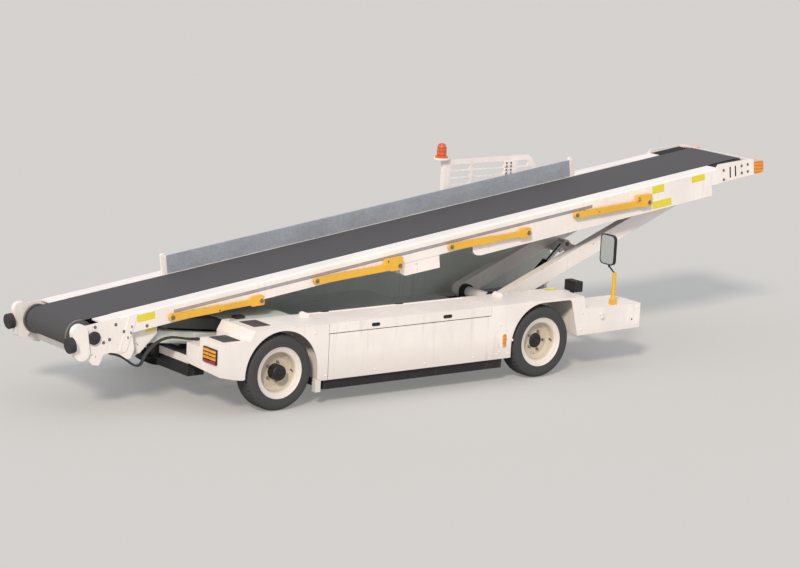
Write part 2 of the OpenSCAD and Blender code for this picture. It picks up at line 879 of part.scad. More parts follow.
module beacon() {
  color(amber)
    at_axle()
      translate([beacon_x, guard_y + 23, guard_z + 20 + seat_gap])
        rotate_extrude()
          polygon([[0, 0], [beacon_radius + 12, 0], [beacon_radius + 12, 14], [beacon_radius, 18],
            [beacon_radius - 4, 96], [beacon_radius - 14, 118], [beacon_radius - 30, 126], [0, 128]]);
}

tail_lamp_y = body_half - 135;
head_lamp_y = body_half - 180;
work_lamp_y = body_half - 238;

// tail lamps, head lamps and the work lamp at the front of the right deck
module lamps() {
  color(amber)
    at_axle() {
      both_sides()
        block([-rear_face - 22, -tail_lamp_y - 95, 418], [-rear_face - seat_gap, -tail_lamp_y + 95, 540]);
      // x of the face behind each head lamp, and its side
      for (place = [[block_front, -1], [cab_front, 1]])
        bar_x(place[0] + seat_gap, place[0] + 34, place[1] * head_lamp_y, 450, 70);
      block([nose_panel_x + 38, -work_lamp_y - 78, deck_z - 4],
        [nose_panel_x + 118, -work_lamp_y + 78, deck_z + 88]);
      block([nose_panel_x + 60, -work_lamp_y - 20, block_z + seat_gap],
        [nose_panel_x + 80, -work_lamp_y + 20, deck_z]);
      block([nose_panel_x + 60, -work_lamp_y - 20, block_z + seat_gap],
        [nose_panel_x + 150, -work_lamp_y + 20, block_z + 10]);
    }
}

post_x = 3420;
post_y = body_half - 45;
post_z = 832;
mirror_y0 = body_half - 10;
mirror_y1 = body_half - 190;
mirror_low = 896;
mirror_z = 1154;
mirror_x = 3372;
mirror_thick = 24;
mirror_arm = [mirror_x + mirror_thick + 6, -post_y + 55, mirror_low - 16];

// yellow post with the mirror on its thin upper arm
module mirror_post() {
  color(yellow)
    at_axle() {
      block([post_x - 24, -post_y - 24, block_z + seat_gap], [post_x + 24, -post_y + 24, 600]);
      translate([post_x, -post_y, 590])
        cylinder(h = 50, r1 = 24, r2 = 18);
      translate([post_x, -post_y, 600])
        cylinder(h = post_z - 600, r = 17);
      rod([post_x, -post_y, post_z - 8], mirror_arm, 7);
      translate(mirror_arm - [0, 0, 10])
        cylinder(h = mirror_z - mirror_low - 28, r = 9);
      along_x(mirror_x, mirror_x + mirror_thick)
        rounded_shape(-mirror_y0, mirror_low, -mirror_y1, mirror_z, 42);
    }
}

// Rear link arms and tail bracket

arm_y0 = 360;
arm_y1 = 300;
boss_radius = 42;
clamp_x = -430;
hose_outer_y = -437;
hose_inner_y = -417;

module link_arms() {
  color(grey)
    at_axle()
      difference() {
        union() {
          both_sides()
            side_plate(-arm_y0, -arm_y1) {
              polygon([[link_x + 10, link_z - boss_radius], [link_x + 10, link_z + boss_radius],
                [-417, 552],
                [-800, 600], [-880, 596], [-930, 560], [pivot_x - 30, pivot_z + 30],
                  [pivot_x - 34, pivot_z - 25],
                [pivot_x + 30, pivot_z - 30], [-880, 490], [-830, 508]]);
              translate([link_x, link_z])
                circle(boss_radius);
              translate([pivot_x, pivot_z])
                circle(boss_radius);
            }
          bar_y(link_x, link_z, -frame_inner + 2, frame_inner - 2, pin_radius);
          bar_y(-560, 515, -arm_y1 - weld, arm_y1 + weld, 38);
          // clamp that the hoses end in
          block([clamp_x, hose_outer_y - 14, 500], [clamp_x + 34, -arm_y0 + weld, 536]);
        }
        bar_y(pivot_x, pivot_z, -arm_y0 - bit, arm_y0 + bit, pin_radius);
      }
}

cheek_y0 = 400;
cheek_y1 = 386;
tail_tube_radius = 78;

// the tail's cross pin, with its thick tube between the arms and collars beside the boom's cheeks
module tail_bracket() {
  color(grey)
    at_axle() {
      bar_y(pivot_x, pivot_z, -cheek_y0 - 4, cheek_y0 + 4, pin_radius - pin_clear);
      bar_y(pivot_x, pivot_z, -arm_y1 + 1, arm_y1 - 1, tail_tube_radius);
      both_sides()
        bar_y(pivot_x, pivot_z, -cheek_y1 + 1, -arm_y0 - 1, pin_radius + 12);
    }
}

// Front lift

lift_y0 = 302;
lift_y1 = 222;
roller_radius = 22;
track_sheet = 6;

module lift_tube() {
  color(white)
    at_axle()
      bar_y(lift_x, lift_z, -lift_y0 - 4, lift_y0 + 4, lift_tube_radius);
}

module lift_arms() {
  half = lift_depth / 2;
  tip = 38;
  color(white)
    on_arm()
      difference() {
        union() {
          both_sides() {
            side_plate(-lift_y0, -lift_y1) {
              polygon([[0, -half], [2100, -half], [lift_length, -tip], [lift_length, tip],
                [2100, half], [0, half]]);
              circle(half);
              translate([lift_length, 0])
                circle(tip);
            }
            // roller that runs in the boom's track
            bar_y(lift_length, 0, -380, -lift_y0 + weld, 14);
            bar_y(lift_length, 0, -380, -340, roller_radius);
            side_plate(-eye_half - 2 - 24, -eye_half - 2) {
              polygon([[eye_along - 28, -half + 10], [eye_along + 70, -half + 10],
                [eye_along + eye_radius - 4, eye_up + 10], [eye_along - eye_radius + 4, eye_up + 10]]);
              translate([eye_along, eye_up])
                circle(eye_radius);
            }
          }
          // cross plate under the cylinder's eye, with a notch that the eye clears
          difference() {
            block([eye_along - 30, -lift_y1 - weld, -half + 2],
              [eye_along + 110, lift_y1 + weld, -half + 18]);
            block([eye_along - 31, -eye_half - 5, -half],
              [eye_along + eye_radius + 12, eye_half + 5, -half + 20]);
          }
        }
        bar_y(0, 0, -lift_y0 - bit, lift_y0 + bit, lift_tube_radius + pin_clear);
      }
}

barrel_length = 630;
barrel_start = 44;
barrel_bottom = 70;
neck_radius = 24;
barrel_wall = 8;

module lift_barrel() {
  color(black)
    on_cylinder() {
      difference() {
        rotate([0, 90, 0])
          translate([0, 0, barrel_start])
            cylinder(h = barrel_length - barrel_start, r = barrel_radius);
        rotate([0, 90, 0])
          translate([0, 0, barrel_bottom])
            cylinder(h = barrel_length, r = rod_radius + pin_clear);
      }
      // neck between the foot's eye and the barrel
      rotate([0, 90, 0])
        cylinder(h = barrel_start + weld, r = neck_radius);
      bar_y(0, 0, -eye_half, eye_half, eye_radius);
    }
}

module lift_rod() {
  color(steel)
    on_cylinder() {
      rotate([0, 90, 0])
        translate([0, 0, 260])
          cylinder(h = rod_reach - 260 - 20, r = rod_radius);
      bar_y(rod_reach, 0, -eye_half, eye_half, eye_radius);
    }
}

// Boom

rail_inner = belt_half + 12;
rail_rear = -1180;
rail_round = 16;
groove_depth = 6;
nose_plate = 8;
box_rear_s = 1470;
box_front_s = 1880;
box_low = -256;

// section of a side rail: a closed box with a round upper outer edge
module rail_shape() {
  difference() {
    union() {
      translate([-boom_half, -rail_depth])
        square([boom_half - rail_inner, rail_depth - rail_round]);
      translate([-boom_half + rail_round, -rail_depth])
        square([boom_half - rail_inner - rail_round, rail_depth]);
      translate([-boom_half + rail_round, -rail_round])
        circle(rail_round);
    }
    translate([-boom_half + sheet + 6, -rail_depth + sheet])
      square([boom_half - rail_inner - 2 * sheet - 6, rail_depth - 2 * sheet]);
  }
}

module boom_frame() {
  color(white)
    on_boom() {
      both_sides() {
        difference() {
          along_x(rail_rear, rail_front)
            rail_shape();
          // long groove in the rail's outer side
          block([-700, -boom_half - bit, -76], [3550, -boom_half + groove_depth, -48]);
        }
        // track section below the front half of the rail
        side_plate(-boom_half, -boom_half + track_sheet)
          polygon([[track_rear, -rail_depth + weld], [track_rear, -195], [track_rear + 12, -215],
            [track_rear + 35, -230], [track_rear + 75, -track_depth], [track_front, -track_depth],
            [track_front, -rail_depth + weld]]);
        block([track_rear + 75, -boom_half + bit, -track_depth],
          [track_front - bit, -320, -track_depth + track_sheet]);
        // side plate of the nose, inside the rail's outer face, and the flat cover beside the belt
        side_plate(-boom_half + 3, -boom_half + 3 + nose_plate)
          polygon([[rail_front - 38, -rail_depth + weld], [boom_lamp_s, -rail_depth + weld],
            [boom_lamp_s, -2],
            [nose_s + 44, 6], [nose_s - 140, 19], [rail_front + 8, 30], [rail_front - 38, -12]]);
        block([rail_front - weld, -boom_half + 3 + bit, -14], [nose_s - 10, -rail_inner, -6]);
        // strap that carries the tail's load from the rail down to the pivot
        side_plate(-boom_half - 5, -boom_half + 0.7)
          polygon([[-1095, -4], [-1020, -4], [-1143, -262], [-1160, -280], [-1200, -280], [-1218, -262]]);
      }
      block([boom_lamp_s - 14, -boom_half + 3 + bit, -16], [boom_lamp_s, boom_half - 3 - bit, -6]);
      // belt bed and cross members between the rails
      block([rail_rear + 40, -rail_inner - weld, -24], [rail_front - 40, rail_inner + weld, -16]);
      for (s = [-900, 300, 1500, 2700, 3900])
        block([s, -rail_inner - weld, -rail_depth + 3], [s + 50, rail_inner + weld, -rail_depth + 13]);
      bar_y(nose_s - 90, -rail_depth + 10, -boom_half + 6, boom_half - 6, 12);
      // box under the right rail, with a slotted front end
      difference() {
        side_plate(-boom_half + 4, -boom_half + 130)
          polygon([[box_rear_s, -rail_depth + weld], [box_rear_s, -215], [box_rear_s + 50, box_low + 6],
            [box_front_s, box_low], [box_front_s, -rail_depth + weld]]);
        side_plate(-boom_half + 10, -boom_half + 124)
          polygon([[box_rear_s + 8, -rail_depth - 4], [box_rear_s + 8, -212],
            [box_rear_s + 54, box_low + 13],
            [box_front_s - 7, box_low + 7], [box_front_s - 7, -rail_depth - 4]]);
        for (h = [-175, -200, -225])
          block([box_front_s - 20, -boom_half + 26, h - 5], [box_front_s + bit, -boom_half + 108, h + 5]);
      }
    }
}

cap_thick = 50;
cap_out = 20;
cap_s0 = tail_s - 138;
cap_s1 = tail_s - 5;
cap_low = -262;
cap_high = 22;

// side plates, white rounded caps, bumpers and cheeks at the tail
module tail_end() {
  cheek_front_s = -830;
  color(white)
    on_boom() {
      both_sides() {
        side_plate(-boom_half + 1, -boom_half + 1 + sheet)
          polygon([[rail_rear - seat_gap, -2], [cap_s1 - 20, -2], [cap_s1 - 20, -265], [-1454, -318],
            [-1404, -336],
            [-1385, -320], [-1350, -260], [-1290, -259], [-1222, -280], [-1150, -342], [-1120, -342],
              [-1079, -284],
            [-1084, -rail_depth - seat_gap], [rail_rear - seat_gap, -rail_depth - seat_gap]]);
        block([-1344, -boom_half + 2, -16], [rail_rear - seat_gap, -rail_inner, -2]);
        side_plate(-boom_half - cap_out, -boom_half - cap_out + cap_thick)
          rounded_shape(cap_s0, cap_low, cap_s1, cap_high, 62);
        translate([cap_s0 + weld, -boom_half - 10, bumper_h])
          rotate([0, -90, 0])
            cylinder(h = cap_s0 - bumper_s + weld, r = bumper_radius);
        // cheek that holds the tail pivot
        difference() {
          side_plate(-cheek_y0, -cheek_y1) {
            polygon([[rail_rear - 20, -200], [-1120, -340], [-1000, -340], [cheek_front_s, -215],
              [cheek_front_s, -rail_depth - seat_gap], [rail_rear - 20, -rail_depth - seat_gap]]);
            translate([pivot_s, -pivot_h])
              circle(boss_radius);
          }
          bar_y(pivot_s, -pivot_h, -cheek_y0 - bit, -cheek_y1 + bit, pin_radius);
        }
        block([-1160, -boom_half + 2, -180], [-1140, -cheek_y1, -166]);
        // boss on the side plate
        bar_y(-1422, -110, -boom_half - 14, -boom_half + 4, 50);
      }
      // cross bar between the side plates
      block([-1415, -boom_half + 2, -312], [-1395, boom_half - 2, -262]);
    }
}

snub_s = -1000;
arc_steps = 20;

// closed line of the belt: t is how far it lies inside the belt's outer face
module belt_line(t) {
  tail_r = tail_radius + belt_thick - t;
  nose_r = nose_radius + belt_thick - t;
  tail_c = -tail_radius - belt_thick;
  nose_c = -nose_radius - belt_thick;
  polygon(concat(
    [for (i = [0 : arc_steps]) let (a = 90 + 190 * i / arc_steps) [tail_s + tail_r * cos(a),
      tail_c + tail_r * sin(a)]],
    [[snub_s, 2 * nose_c + t]],
    [for (i = [0 : arc_steps]) let (a = -90 + 180 * i / arc_steps) [nose_s + nose_r * cos(a),
      nose_c + nose_r * sin(a)]]));
}

module belt() {
  color(black)
    on_boom()
      side_plate(-belt_half, belt_half)
        difference() {
          belt_line(0);
          belt_line(belt_thick);
        }
}

// a drum with hollow ends on its shaft
module drum(s, radius, shaft_half, shaft_radius) {
  half = belt_half + 8;
  on_boom()
    translate([s, 0, -radius - belt_thick])
      rotate([90, 0, 0])
        rotate_extrude()
          polygon([[0, -shaft_half], [shaft_radius, -shaft_half], [shaft_radius, -half + 12],
            [radius - 9, -half + 12],
            [radius - 9, -half], [radius - 1, -half], [radius - 1, half], [radius - 9, half],
            [radius - 9, half - 12], [shaft_radius, half - 12], [shaft_radius, shaft_half],
              [0, shaft_half]]);
}

flange_radius = 118;

module tail_roller() {
  color(steel) {
    drum(tail_s, tail_radius, boom_half + cap_out - cap_thick - seat_gap, 20);
    on_boom()
      both_sides()
        bar_y(tail_s, -tail_radius - belt_thick, -belt_half - 29, -belt_half - 7, flange_radius);
  }
}

module nose_roller() {
  color(steel)
    drum(nose_s, nose_radius, boom_half - 3 - nose_plate - seat_gap, 12);
}

sheet_rear_s = -312;
sheet_front_s = 4000;
sheet_y = rail_inner + 2;
sheet_thick = 4;

// upright guard sheet at the far rail's inner edge, lipped at its top, with a white post at each end
module guard_sheet() {
  color(grey)
    on_boom() {
      along_x(sheet_rear_s + 10, sheet_front_s - 10)
        polygon([[sheet_y, seat_gap], [sheet_y + sheet_thick, seat_gap],
          [sheet_y + sheet_thick, guard_height - 4],
          [sheet_y + 15, guard_height - 4], [sheet_y + 15, guard_height], [sheet_y, guard_height]]);
      for (s = [sheet_rear_s, sheet_front_s - 44])
        side_plate(sheet_y + sheet_thick - bit, sheet_y + 30)
          rounded_shape(s, seat_gap, s + 44, guard_height + 20, 18);
    }
}

module boom_lamps() {
  color(amber)
    on_boom()
      both_sides()
        side_plate(-boom_half + 4, -boom_half + 88)
          rounded_shape(boom_lamp_s + seat_gap, boom_lamp_low, boom_lamp_s + boom_lamp_length,
            boom_lamp_high,
            boom_lamp_round);
}

post_tilt = 3;
post_y0 = 500;
post_y1 = 472;

// a folding post lying along the rail: front = height of its front half, clevis = it has the tall bracket
module post(n, front, clevis) {
  half = 28;
  narrow = -0.42 * post_length;
  wide = narrow - 36;
  tail = -post_length + half;
  color(yellow)
    on_boom()
      translate([post_first + n * post_pitch, 0, -post_h])
        rotate([0, post_tilt, 0]) {
          side_plate(-post_y0, -post_y1) {
            translate([tail, 0])
              circle(half);
            polygon([[tail, -half], [wide, -half], [narrow, -front / 2], [0, -front / 2], [0, front / 2],
              [narrow, front / 2], [wide, half], [tail, half]]);
          }
          // bracket round the pivot's end of the post
          difference() {
            side_plate(-post_y0 - 3, -post_y1) {
              polygon([[-104, -front / 2 - 2], [-84, -36], [22, -36], [28, -26], [28, 32], [14, 44],
                [-76, 44],
                [-104, front / 2 + 2]]);
              if (clevis)
                polygon([[-152, 12], [-138, 73], [24, 73], [34, 62], [34, 12]]);
            }
            if (clevis)
              bar_y(-112, 48, -post_y0 - 4, -post_y1 + bit, 11);
          }
          bar_y(0, 0, -post_y0 - 6, -boom_half - seat_gap, 24);
        }
}

module post_1() {
  post(0, 44, false);
}

module post_2() {
  post(1, 54, true);
}

module post_3() {
  post(2, 44, false);
}

module post_4() {
  post(3, 54, true);
}

// Hydraulic hoses: x and z of each point, from behind the tail's side plate down in a loop to the clamp

hose_radius = 8;
hose_sides = 10;
HOSE = [[-1298, 528], [-1286, 506], [-1262, 486], [-1226, 473], [-1186, 462], [-1146, 447], [-1108, 427],
  [-1074, 404], [-1044, 382], [-1016, 364], [-988, 354], [-962, 358], [-944, 374], [-934, 398],
    [-920, 424],
  [-900, 450], [-874, 476], [-842, 502], [-806, 524], [-766, 540], [-722, 549], [-676, 550], [-630, 544],
  [-584, 535], [-540, 526], [-496, 520], [-456, 518], [clamp_x, 518]];

// direction of the route at one of its points, and the ring of corners round it
function run(i) = HOSE[min(i + 1, len(HOSE) - 1)] - HOSE[max(i - 1, 0)];
function ring(i, y) = let (along = run(i) / norm(run(i)))
  [for (k = [0 : hose_sides - 1]) let (a = 360 * k / hose_sides)
    [HOSE[i][0] - hose_radius * cos(a) * along[1], y + hose_radius * sin(a),
      HOSE[i][1] + hose_radius * cos(a) * along[0]]];

module hose(y) {
  last = len(HOSE) - 1;
  color(black)
    at_axle()
      polyhedron([for (i = [0 : last]) each ring(i, y)],
        concat([[for (k = [0 : hose_sides - 1]) k]],
          [for (i = [0 : last - 1]) for (k = [0 : hose_sides - 1]) let (next = (k + 1) % hose_sides)
            [i * hose_sides + k, (i + 1) * hose_sides + k, (i + 1) * hose_sides + next,
              i * hose_sides + next]],
          [[for (k = [0 : hose_sides - 1]) (last + 1) * hose_sides - 1 - k]]));
}

module hose_outer() {
  hose(hose_outer_y);
}

module hose_inner() {
  hose(hose_inner_y);
}

chassis_frame();
body_right();
body_left();
lid_right();
engine_hood();
engine_block();
centre_deck();
driver_floor();
dash_panel();
steering_wheel();
seat_pads();
slotted_guard();
beacon();
rear_axle();
front_axle();
knuckle_right();
knuckle_left();
wheel_rear_right();
wheel_rear_left();
wheel_front_right();
wheel_front_left();
tyre_rear_right();
tyre_rear_left();
tyre_front_right();
tyre_front_left();
lamps();
mirror_post();
link_arms();
tail_bracket();
lift_tube();
lift_arms();
lift_barrel();
lift_rod();
boom_frame();
tail_end();
belt();
tail_roller();
nose_roller();
guard_sheet();
boom_lamps();
post_1();
post_2();
post_3();
post_4();
hose_outer();
hose_inner();
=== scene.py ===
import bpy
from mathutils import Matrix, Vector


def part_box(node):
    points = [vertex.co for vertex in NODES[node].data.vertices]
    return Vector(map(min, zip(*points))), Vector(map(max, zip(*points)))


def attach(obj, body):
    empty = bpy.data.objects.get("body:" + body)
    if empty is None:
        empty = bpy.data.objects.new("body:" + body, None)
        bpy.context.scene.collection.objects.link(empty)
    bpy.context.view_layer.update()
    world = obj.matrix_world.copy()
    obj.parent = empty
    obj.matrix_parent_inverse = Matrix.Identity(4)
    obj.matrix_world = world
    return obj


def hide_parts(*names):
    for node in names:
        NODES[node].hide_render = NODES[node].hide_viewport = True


bl_info = {
    "name": "Baggage belt loader",
    "version": (1, 0, 0),
    "blender": (4, 5, 0),
    "location": "View3D > Sidebar > Belt loader",
    "description": "Finishes and fittings of a baggage belt loader on its fixed frame",
    "category": "Object",
}

import functools
import itertools
import math

import bmesh
import bpy
from bpy.props import FloatProperty, FloatVectorProperty, IntProperty, PointerProperty
from mathutils import Matrix, Vector

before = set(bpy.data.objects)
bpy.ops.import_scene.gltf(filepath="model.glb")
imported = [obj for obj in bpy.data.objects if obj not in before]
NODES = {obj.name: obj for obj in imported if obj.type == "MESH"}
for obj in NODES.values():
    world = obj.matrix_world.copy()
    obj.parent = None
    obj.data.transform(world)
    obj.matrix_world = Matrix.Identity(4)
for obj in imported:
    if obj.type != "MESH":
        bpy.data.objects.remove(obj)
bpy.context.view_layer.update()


def middle(node):
    """Middle of a node's box."""
    low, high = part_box(node)
    return (low + high) / 2


# Frames that the pieces are placed in. Lengths are in metres, angles in radians.
REAR_WHEEL = middle("wheel_rear_right")
FRONT_WHEEL = middle("wheel_front_right")
TYRE_RADIUS = REAR_WHEEL.z
WHEELBASE = FRONT_WHEEL.x - REAR_WHEEL.x
WHEEL_Y = 0.845
PITCH = math.radians(7.56)
BELT_Z = 0.914


def at(x, y, z):
    """A point counted from the rear axle, the centre line and the ground."""
    return Vector((REAR_WHEEL.x + x, y, z))


def turn(angle, axis):
    """A turn about an axis through the origin."""
    return Matrix.Rotation(angle, 4, axis)


MACHINE = Matrix.Translation(at(0, 0, 0))
# the boom's own frame: along the belt, across it, and up from it
BOOM = Matrix.Translation(at(0, 0, BELT_Z)) @ turn(-PITCH, "Y")
BOOM_AXIS = Vector((math.cos(PITCH), 0.0, math.sin(PITCH)))
# along the boom: rear face of the tail's caps, and where the guard sheet's end posts begin
CAP_REAR = -1.6085
SHEET_POSTS = (-0.2675, 3.9555)
# the sides by name and sign, and the axis that looks outward there: -1 is the right, near side
SIDES = {"right": -1, "left": 1}
OUTWARD = {-1: "-Y", 1: "+Y"}
# thresholds of the modelling helpers: smallest radius of a turned piece, distance at which points merge,
# angle from which an edge is sharp, and cosine above which two directions count as parallel
CORE_RADIUS = 0.0002
MERGE = 0.00005
SHARP = 0.8
PARALLEL = 0.9


def linear(code):
    """An sRGB hex colour as the linear values that shaders use."""
    parts = [int(code[i : i + 2], 16) / 255 for i in (0, 2, 4)]
    return tuple(c / 12.92 if c <= 0.04045 else ((c + 0.055) / 1.055) ** 2.4 for c in parts)


def colour(name, description, code):
    return FloatVectorProperty(
        name=name, description=description, subtype="COLOR", size=3, min=0, max=1, default=linear(code)
    )


def length(name, description, value, low, high):
    kind = {"unit": "LENGTH", "subtype": "DISTANCE"}
    return FloatProperty(name=name, description=description, default=value, min=low, max=high, **kind)


class LoaderColours(bpy.types.PropertyGroup):
    """Colours of the paints, rubbers and lenses."""

    body: colour("Body", "Paint of the body sides and the boom", "faf3ee")
    grey: colour("Grey", "Paint of the centre deck and the link arms", "d3d8d1")
    chassis: colour("Chassis", "Paint of the frame and the axles", "1d1b1f")
    post: colour("Posts", "Paint of the folding posts and the mirror post", "efb93c")
    belt: colour("Belt", "Top cover of the conveyor belt", "1b1719")
    rubber: colour("Tyres", "Rubber of the tyres", "1e1b1b")
    amber: colour("Amber", "Amber lamp lenses", "ee9420")
    red: colour("Red", "Red lamp lenses", "a8201c")
    tail: colour("Tail lamps", "Orange lenses of the tail lamps", "f0a329")
    beacon: colour("Beacon", "Lens of the beacon", "d8602c")
    label: colour("Labels", "Blank film labels", "ead93f")
    rust: colour("Rust", "Rust at chips and seams", "6e3c20")
    grime: colour("Grime", "Dust and oil on the paint", "8d7a68")


class LoaderSizes(bpy.types.PropertyGroup):
    """Sizes that a user may change without touching the frame."""

    groove: length("Tread groove", "Depth of the tyres' grooves", 0.008, 0.002, 0.012)
    bolt: length("Bolt head", "Radius of an ordinary bolt head", 0.009, 0.005, 0.014)
    label: length("Label film", "Thickness of a blank label", 0.0008, 0.0004, 0.002)
    lens: FloatProperty(
        name="Lens", description="Focal length of the camera", default=121.03, min=35, max=200, unit="CAMERA"
    )
    wheel_nuts: IntProperty(name="Wheel nuts", description="Nuts on each wheel", default=5, min=4, max=8)
    wear: FloatProperty(
        name="Wear", description="How worn the paint is", default=1.0, min=0, max=2, subtype="FACTOR"
    )


# Modelling helpers


def clear():
    """Object mode with nothing selected."""
    if bpy.context.object and bpy.context.object.mode != "OBJECT":
        bpy.ops.object.mode_set(mode="OBJECT")
    bpy.ops.object.select_all(action="DESELECT")


def pick(obj, kind, test):
    """In edit mode, selects only the edges or faces that pass the test."""
    bpy.ops.mesh.select_mode(type=kind)
    bpy.ops.mesh.select_all(action="DESELECT")
    mesh = bmesh.from_edit_mesh(obj.data)
    for part in mesh.edges if kind == "EDGE" else mesh.faces:
        if test(part):
            part.select_set(True)
    bmesh.update_edit_mesh(obj.data)


def only(obj):
    """Makes obj the one selected and active object."""
    clear()
    obj.select_set(True)
    bpy.context.view_layer.objects.active = obj


def apply_place(obj, matrix=None):
    """Writes an object's place into its mesh, so that the object sits at the origin."""
    only(obj)
    if matrix is not None:
        obj.matrix_world = matrix @ obj.matrix_world
    bpy.context.view_layer.update()
    bpy.ops.object.transform_apply(location=True, rotation=True, scale=True)


def block(name, low, high, bevel=0.002, segments=2, corner=0.0, along="Z", corner_segments=5):
    """A block between two corners; the edges that run along an axis may be rounded more than the rest."""
    clear()
    low, high = Vector(low), Vector(high)
    bpy.ops.mesh.primitive_cube_add(size=1, location=(low + high) / 2, scale=high - low)
    obj = bpy.context.object
    obj.name = name
    apply_place(obj)
    bpy.ops.object.mode_set(mode="EDIT")
    if corner:
        axis = "XYZ".index(along)
        pick(obj, "EDGE", lambda e: abs((e.verts[0].co - e.verts[1].co).normalized()[axis]) > PARALLEL)
        bpy.ops.mesh.bevel(offset=corner, segments=corner_segments, affect="EDGES")
    if bevel:
        pick(obj, "EDGE", lambda e: len(e.link_faces) == 2 and e.calc_face_angle() > SHARP)
        bpy.ops.mesh.bevel(offset=bevel, segments=segments, affect="EDGES")
    bpy.ops.object.mode_set(mode="OBJECT")
    return obj


def turned(name, rings, sides=32, closed=False):
    """A turned piece round Z: rings are (radius, height), from one end to the other."""
    clear()
    rings = [(max(r, CORE_RADIUS), z) for r, z in rings]
    r0, z0 = rings[0]
    bpy.ops.mesh.primitive_circle_add(vertices=sides, radius=r0, location=(0, 0, z0), fill_type="NOTHING")
    obj = bpy.context.object
    obj.name = name
    apply_place(obj)
    bpy.ops.object.mode_set(mode="EDIT")
    bpy.ops.mesh.select_mode(type="EDGE")
    bpy.ops.mesh.select_all(action="SELECT")
    if not closed:
        bpy.ops.mesh.edge_face_add()
        bpy.ops.mesh.select_all(action="SELECT")
        bpy.ops.mesh.select_mode(type="EDGE")
    for (r0, z0), (r1, z1) in zip(rings, rings[1:] + (rings[:1] if closed else [])):
        bpy.ops.mesh.extrude_edges_move(TRANSFORM_OT_translate={"value": (0, 0, z1 - z0)})
        bpy.ops.transform.resize(value=(r1 / r0, r1 / r0, 1), center_override=(0, 0, z1))
    if not closed:
        bpy.ops.mesh.edge_face_add()
    bpy.ops.mesh.select_all(action="SELECT")
    bpy.ops.mesh.remove_doubles(threshold=MERGE)
    bpy.ops.mesh.normals_make_consistent(inside=False)
    bpy.ops.object.mode_set(mode="OBJECT")
    return obj


def copied(obj, matrix):
    """A copy of obj with its own mesh, moved by the matrix."""
    made = obj.copy()
    made.data = obj.data.copy()
    bpy.context.scene.collection.objects.link(made)
    return moved(made, matrix)


def moved(obj, matrix):
    """The same piece, its mesh moved by the matrix."""
    obj.data.transform(matrix)
    return obj


def join(name, parts):
    """Several objects as one."""
    clear()
    for part in parts:
        part.select_set(True)
    bpy.context.view_layer.objects.active = parts[0]
    if len(parts) > 1:
        bpy.ops.object.join()
    parts[0].name = name
    parts[0].data.name = name
    return parts[0]


def pattern(name, model, places):
    """Copies of a model at each place, as one piece; the model itself goes."""
    parts = [copied(model, place) for place in places]
    bpy.data.objects.remove(model)
    return join(name, parts)


# how +Z is turned to look along another axis: about which axis, and by how many degrees
LOOKS = {"+X": ("Y", 90), "-X": ("Y", -90), "+Y": ("X", -90), "-Y": ("X", 90), "+Z": ("X", 0)}


def facing(point, axis):
    """Place of a fitting whose own +Z looks along an axis such as -Y, at a point."""
    name, degrees = LOOKS[axis]
    return Matrix.Translation(point) @ turn(math.radians(degrees), name)


def settle(obj, body, material, matrix=None, angle=35, replaces=()):
    """Places a finished piece in the frame, shades it, gives it its finish and lets it ride on its body."""
    apply_place(obj, matrix)
    bpy.ops.object.mode_set(mode="EDIT")
    bpy.ops.mesh.select_all(action="SELECT")
    bpy.ops.mesh.normals_make_consistent(inside=False)
    bpy.ops.object.mode_set(mode="OBJECT")
    bpy.ops.object.shade_smooth_by_angle(angle=math.radians(angle))
    obj.data.materials.clear()
    obj.data.materials.append(finish(material))
    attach(obj, body)
    if replaces:
        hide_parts(*replaces)
    return obj


# turned fittings: how many sides they have, then the radius and height of each ring
PROFILES = {
    "nut_seat": (18, (0.0125, 0), (0.0125, 0.002), (0.0105, 0.006)),
    "nut_hex": (6, (0.0105, 0.003), (0.0105, 0.014), (0.009, 0.0155)),
    "nut_stud": (12, (0.0055, 0.01), (0.0055, 0.021), (0.0045, 0.022)),
    "cap_screw": (10, (0.006, 0), (0.006, 0.003), (0.0045, 0.0045), (0.002, 0.0045)),
    "cap_boss": (24, (0.02, 0), (0.02, 0.004), (0.016, 0.007), (0.006, 0.008)),
    "valve": (
        10, (0.006, 0), (0.006, 0.012), (0.004, 0.016), (0.004, 0.034), (0.005, 0.036), (0.005, 0.046),
    ),
    # these two are for a bolt head of radius 1
    "bolt_washer": (20, (1.5, 0), (1.5, 0.16), (1.42, 0.22)),
    "bolt_hex": (6, (1, 0), (1, 0.62), (0.86, 0.8)),
    "head_lamp_rim": (40, (0.070, 0), (0.070, 0.022), (0.066, 0.030), (0.060, 0.030), (0.058, 0.024)),
    "head_lamp_glass": (40, (0.059, 0.020), (0.058, 0.026), (0.045, 0.031), (0.024, 0.0335), (0.004, 0.034)),
    "buffer": (40, (0.0605, -0.03), (0.0605, 0.003), (0.057, 0.007), (0.040, 0.0085), (0.015, 0.009)),
    "drive_boss": (
        40, (0.0515, -0.012), (0.0515, 0.003), (0.047, 0.006), (0.021, 0.006), (0.019, 0.012),
        (0.007, 0.013),
    ),
    "lever_stem": (16, (0.016, 0), (0.016, 0.006), (0.006, 0.014), (0.0045, 0.075)),
    "lever_knob": (20, (0.006, 0.070), (0.014, 0.076), (0.018, 0.088), (0.015, 0.101), (0.006, 0.107)),
}


def fitting(name, place=Matrix()):
    """A turned fitting of that name, moved to its place."""
    sides, *rings = PROFILES[name]
    return moved(turned(name, rings, sides), place)


def bolt_head(radius):
    """A hexagon head on its washer, looking along +Z."""
    return join("bolt", [fitting(name, Matrix.Scale(radius, 4)) for name in ("bolt_washer", "bolt_hex")])


# Finishes


def per(mm):
    """Texture scale at which one cell measures mm millimetres."""
    return 1000.0 / mm


def bands(mm):
    """Wave texture scale at which its bands lie mm millimetres apart."""
    return per(mm) * math.tau / 20


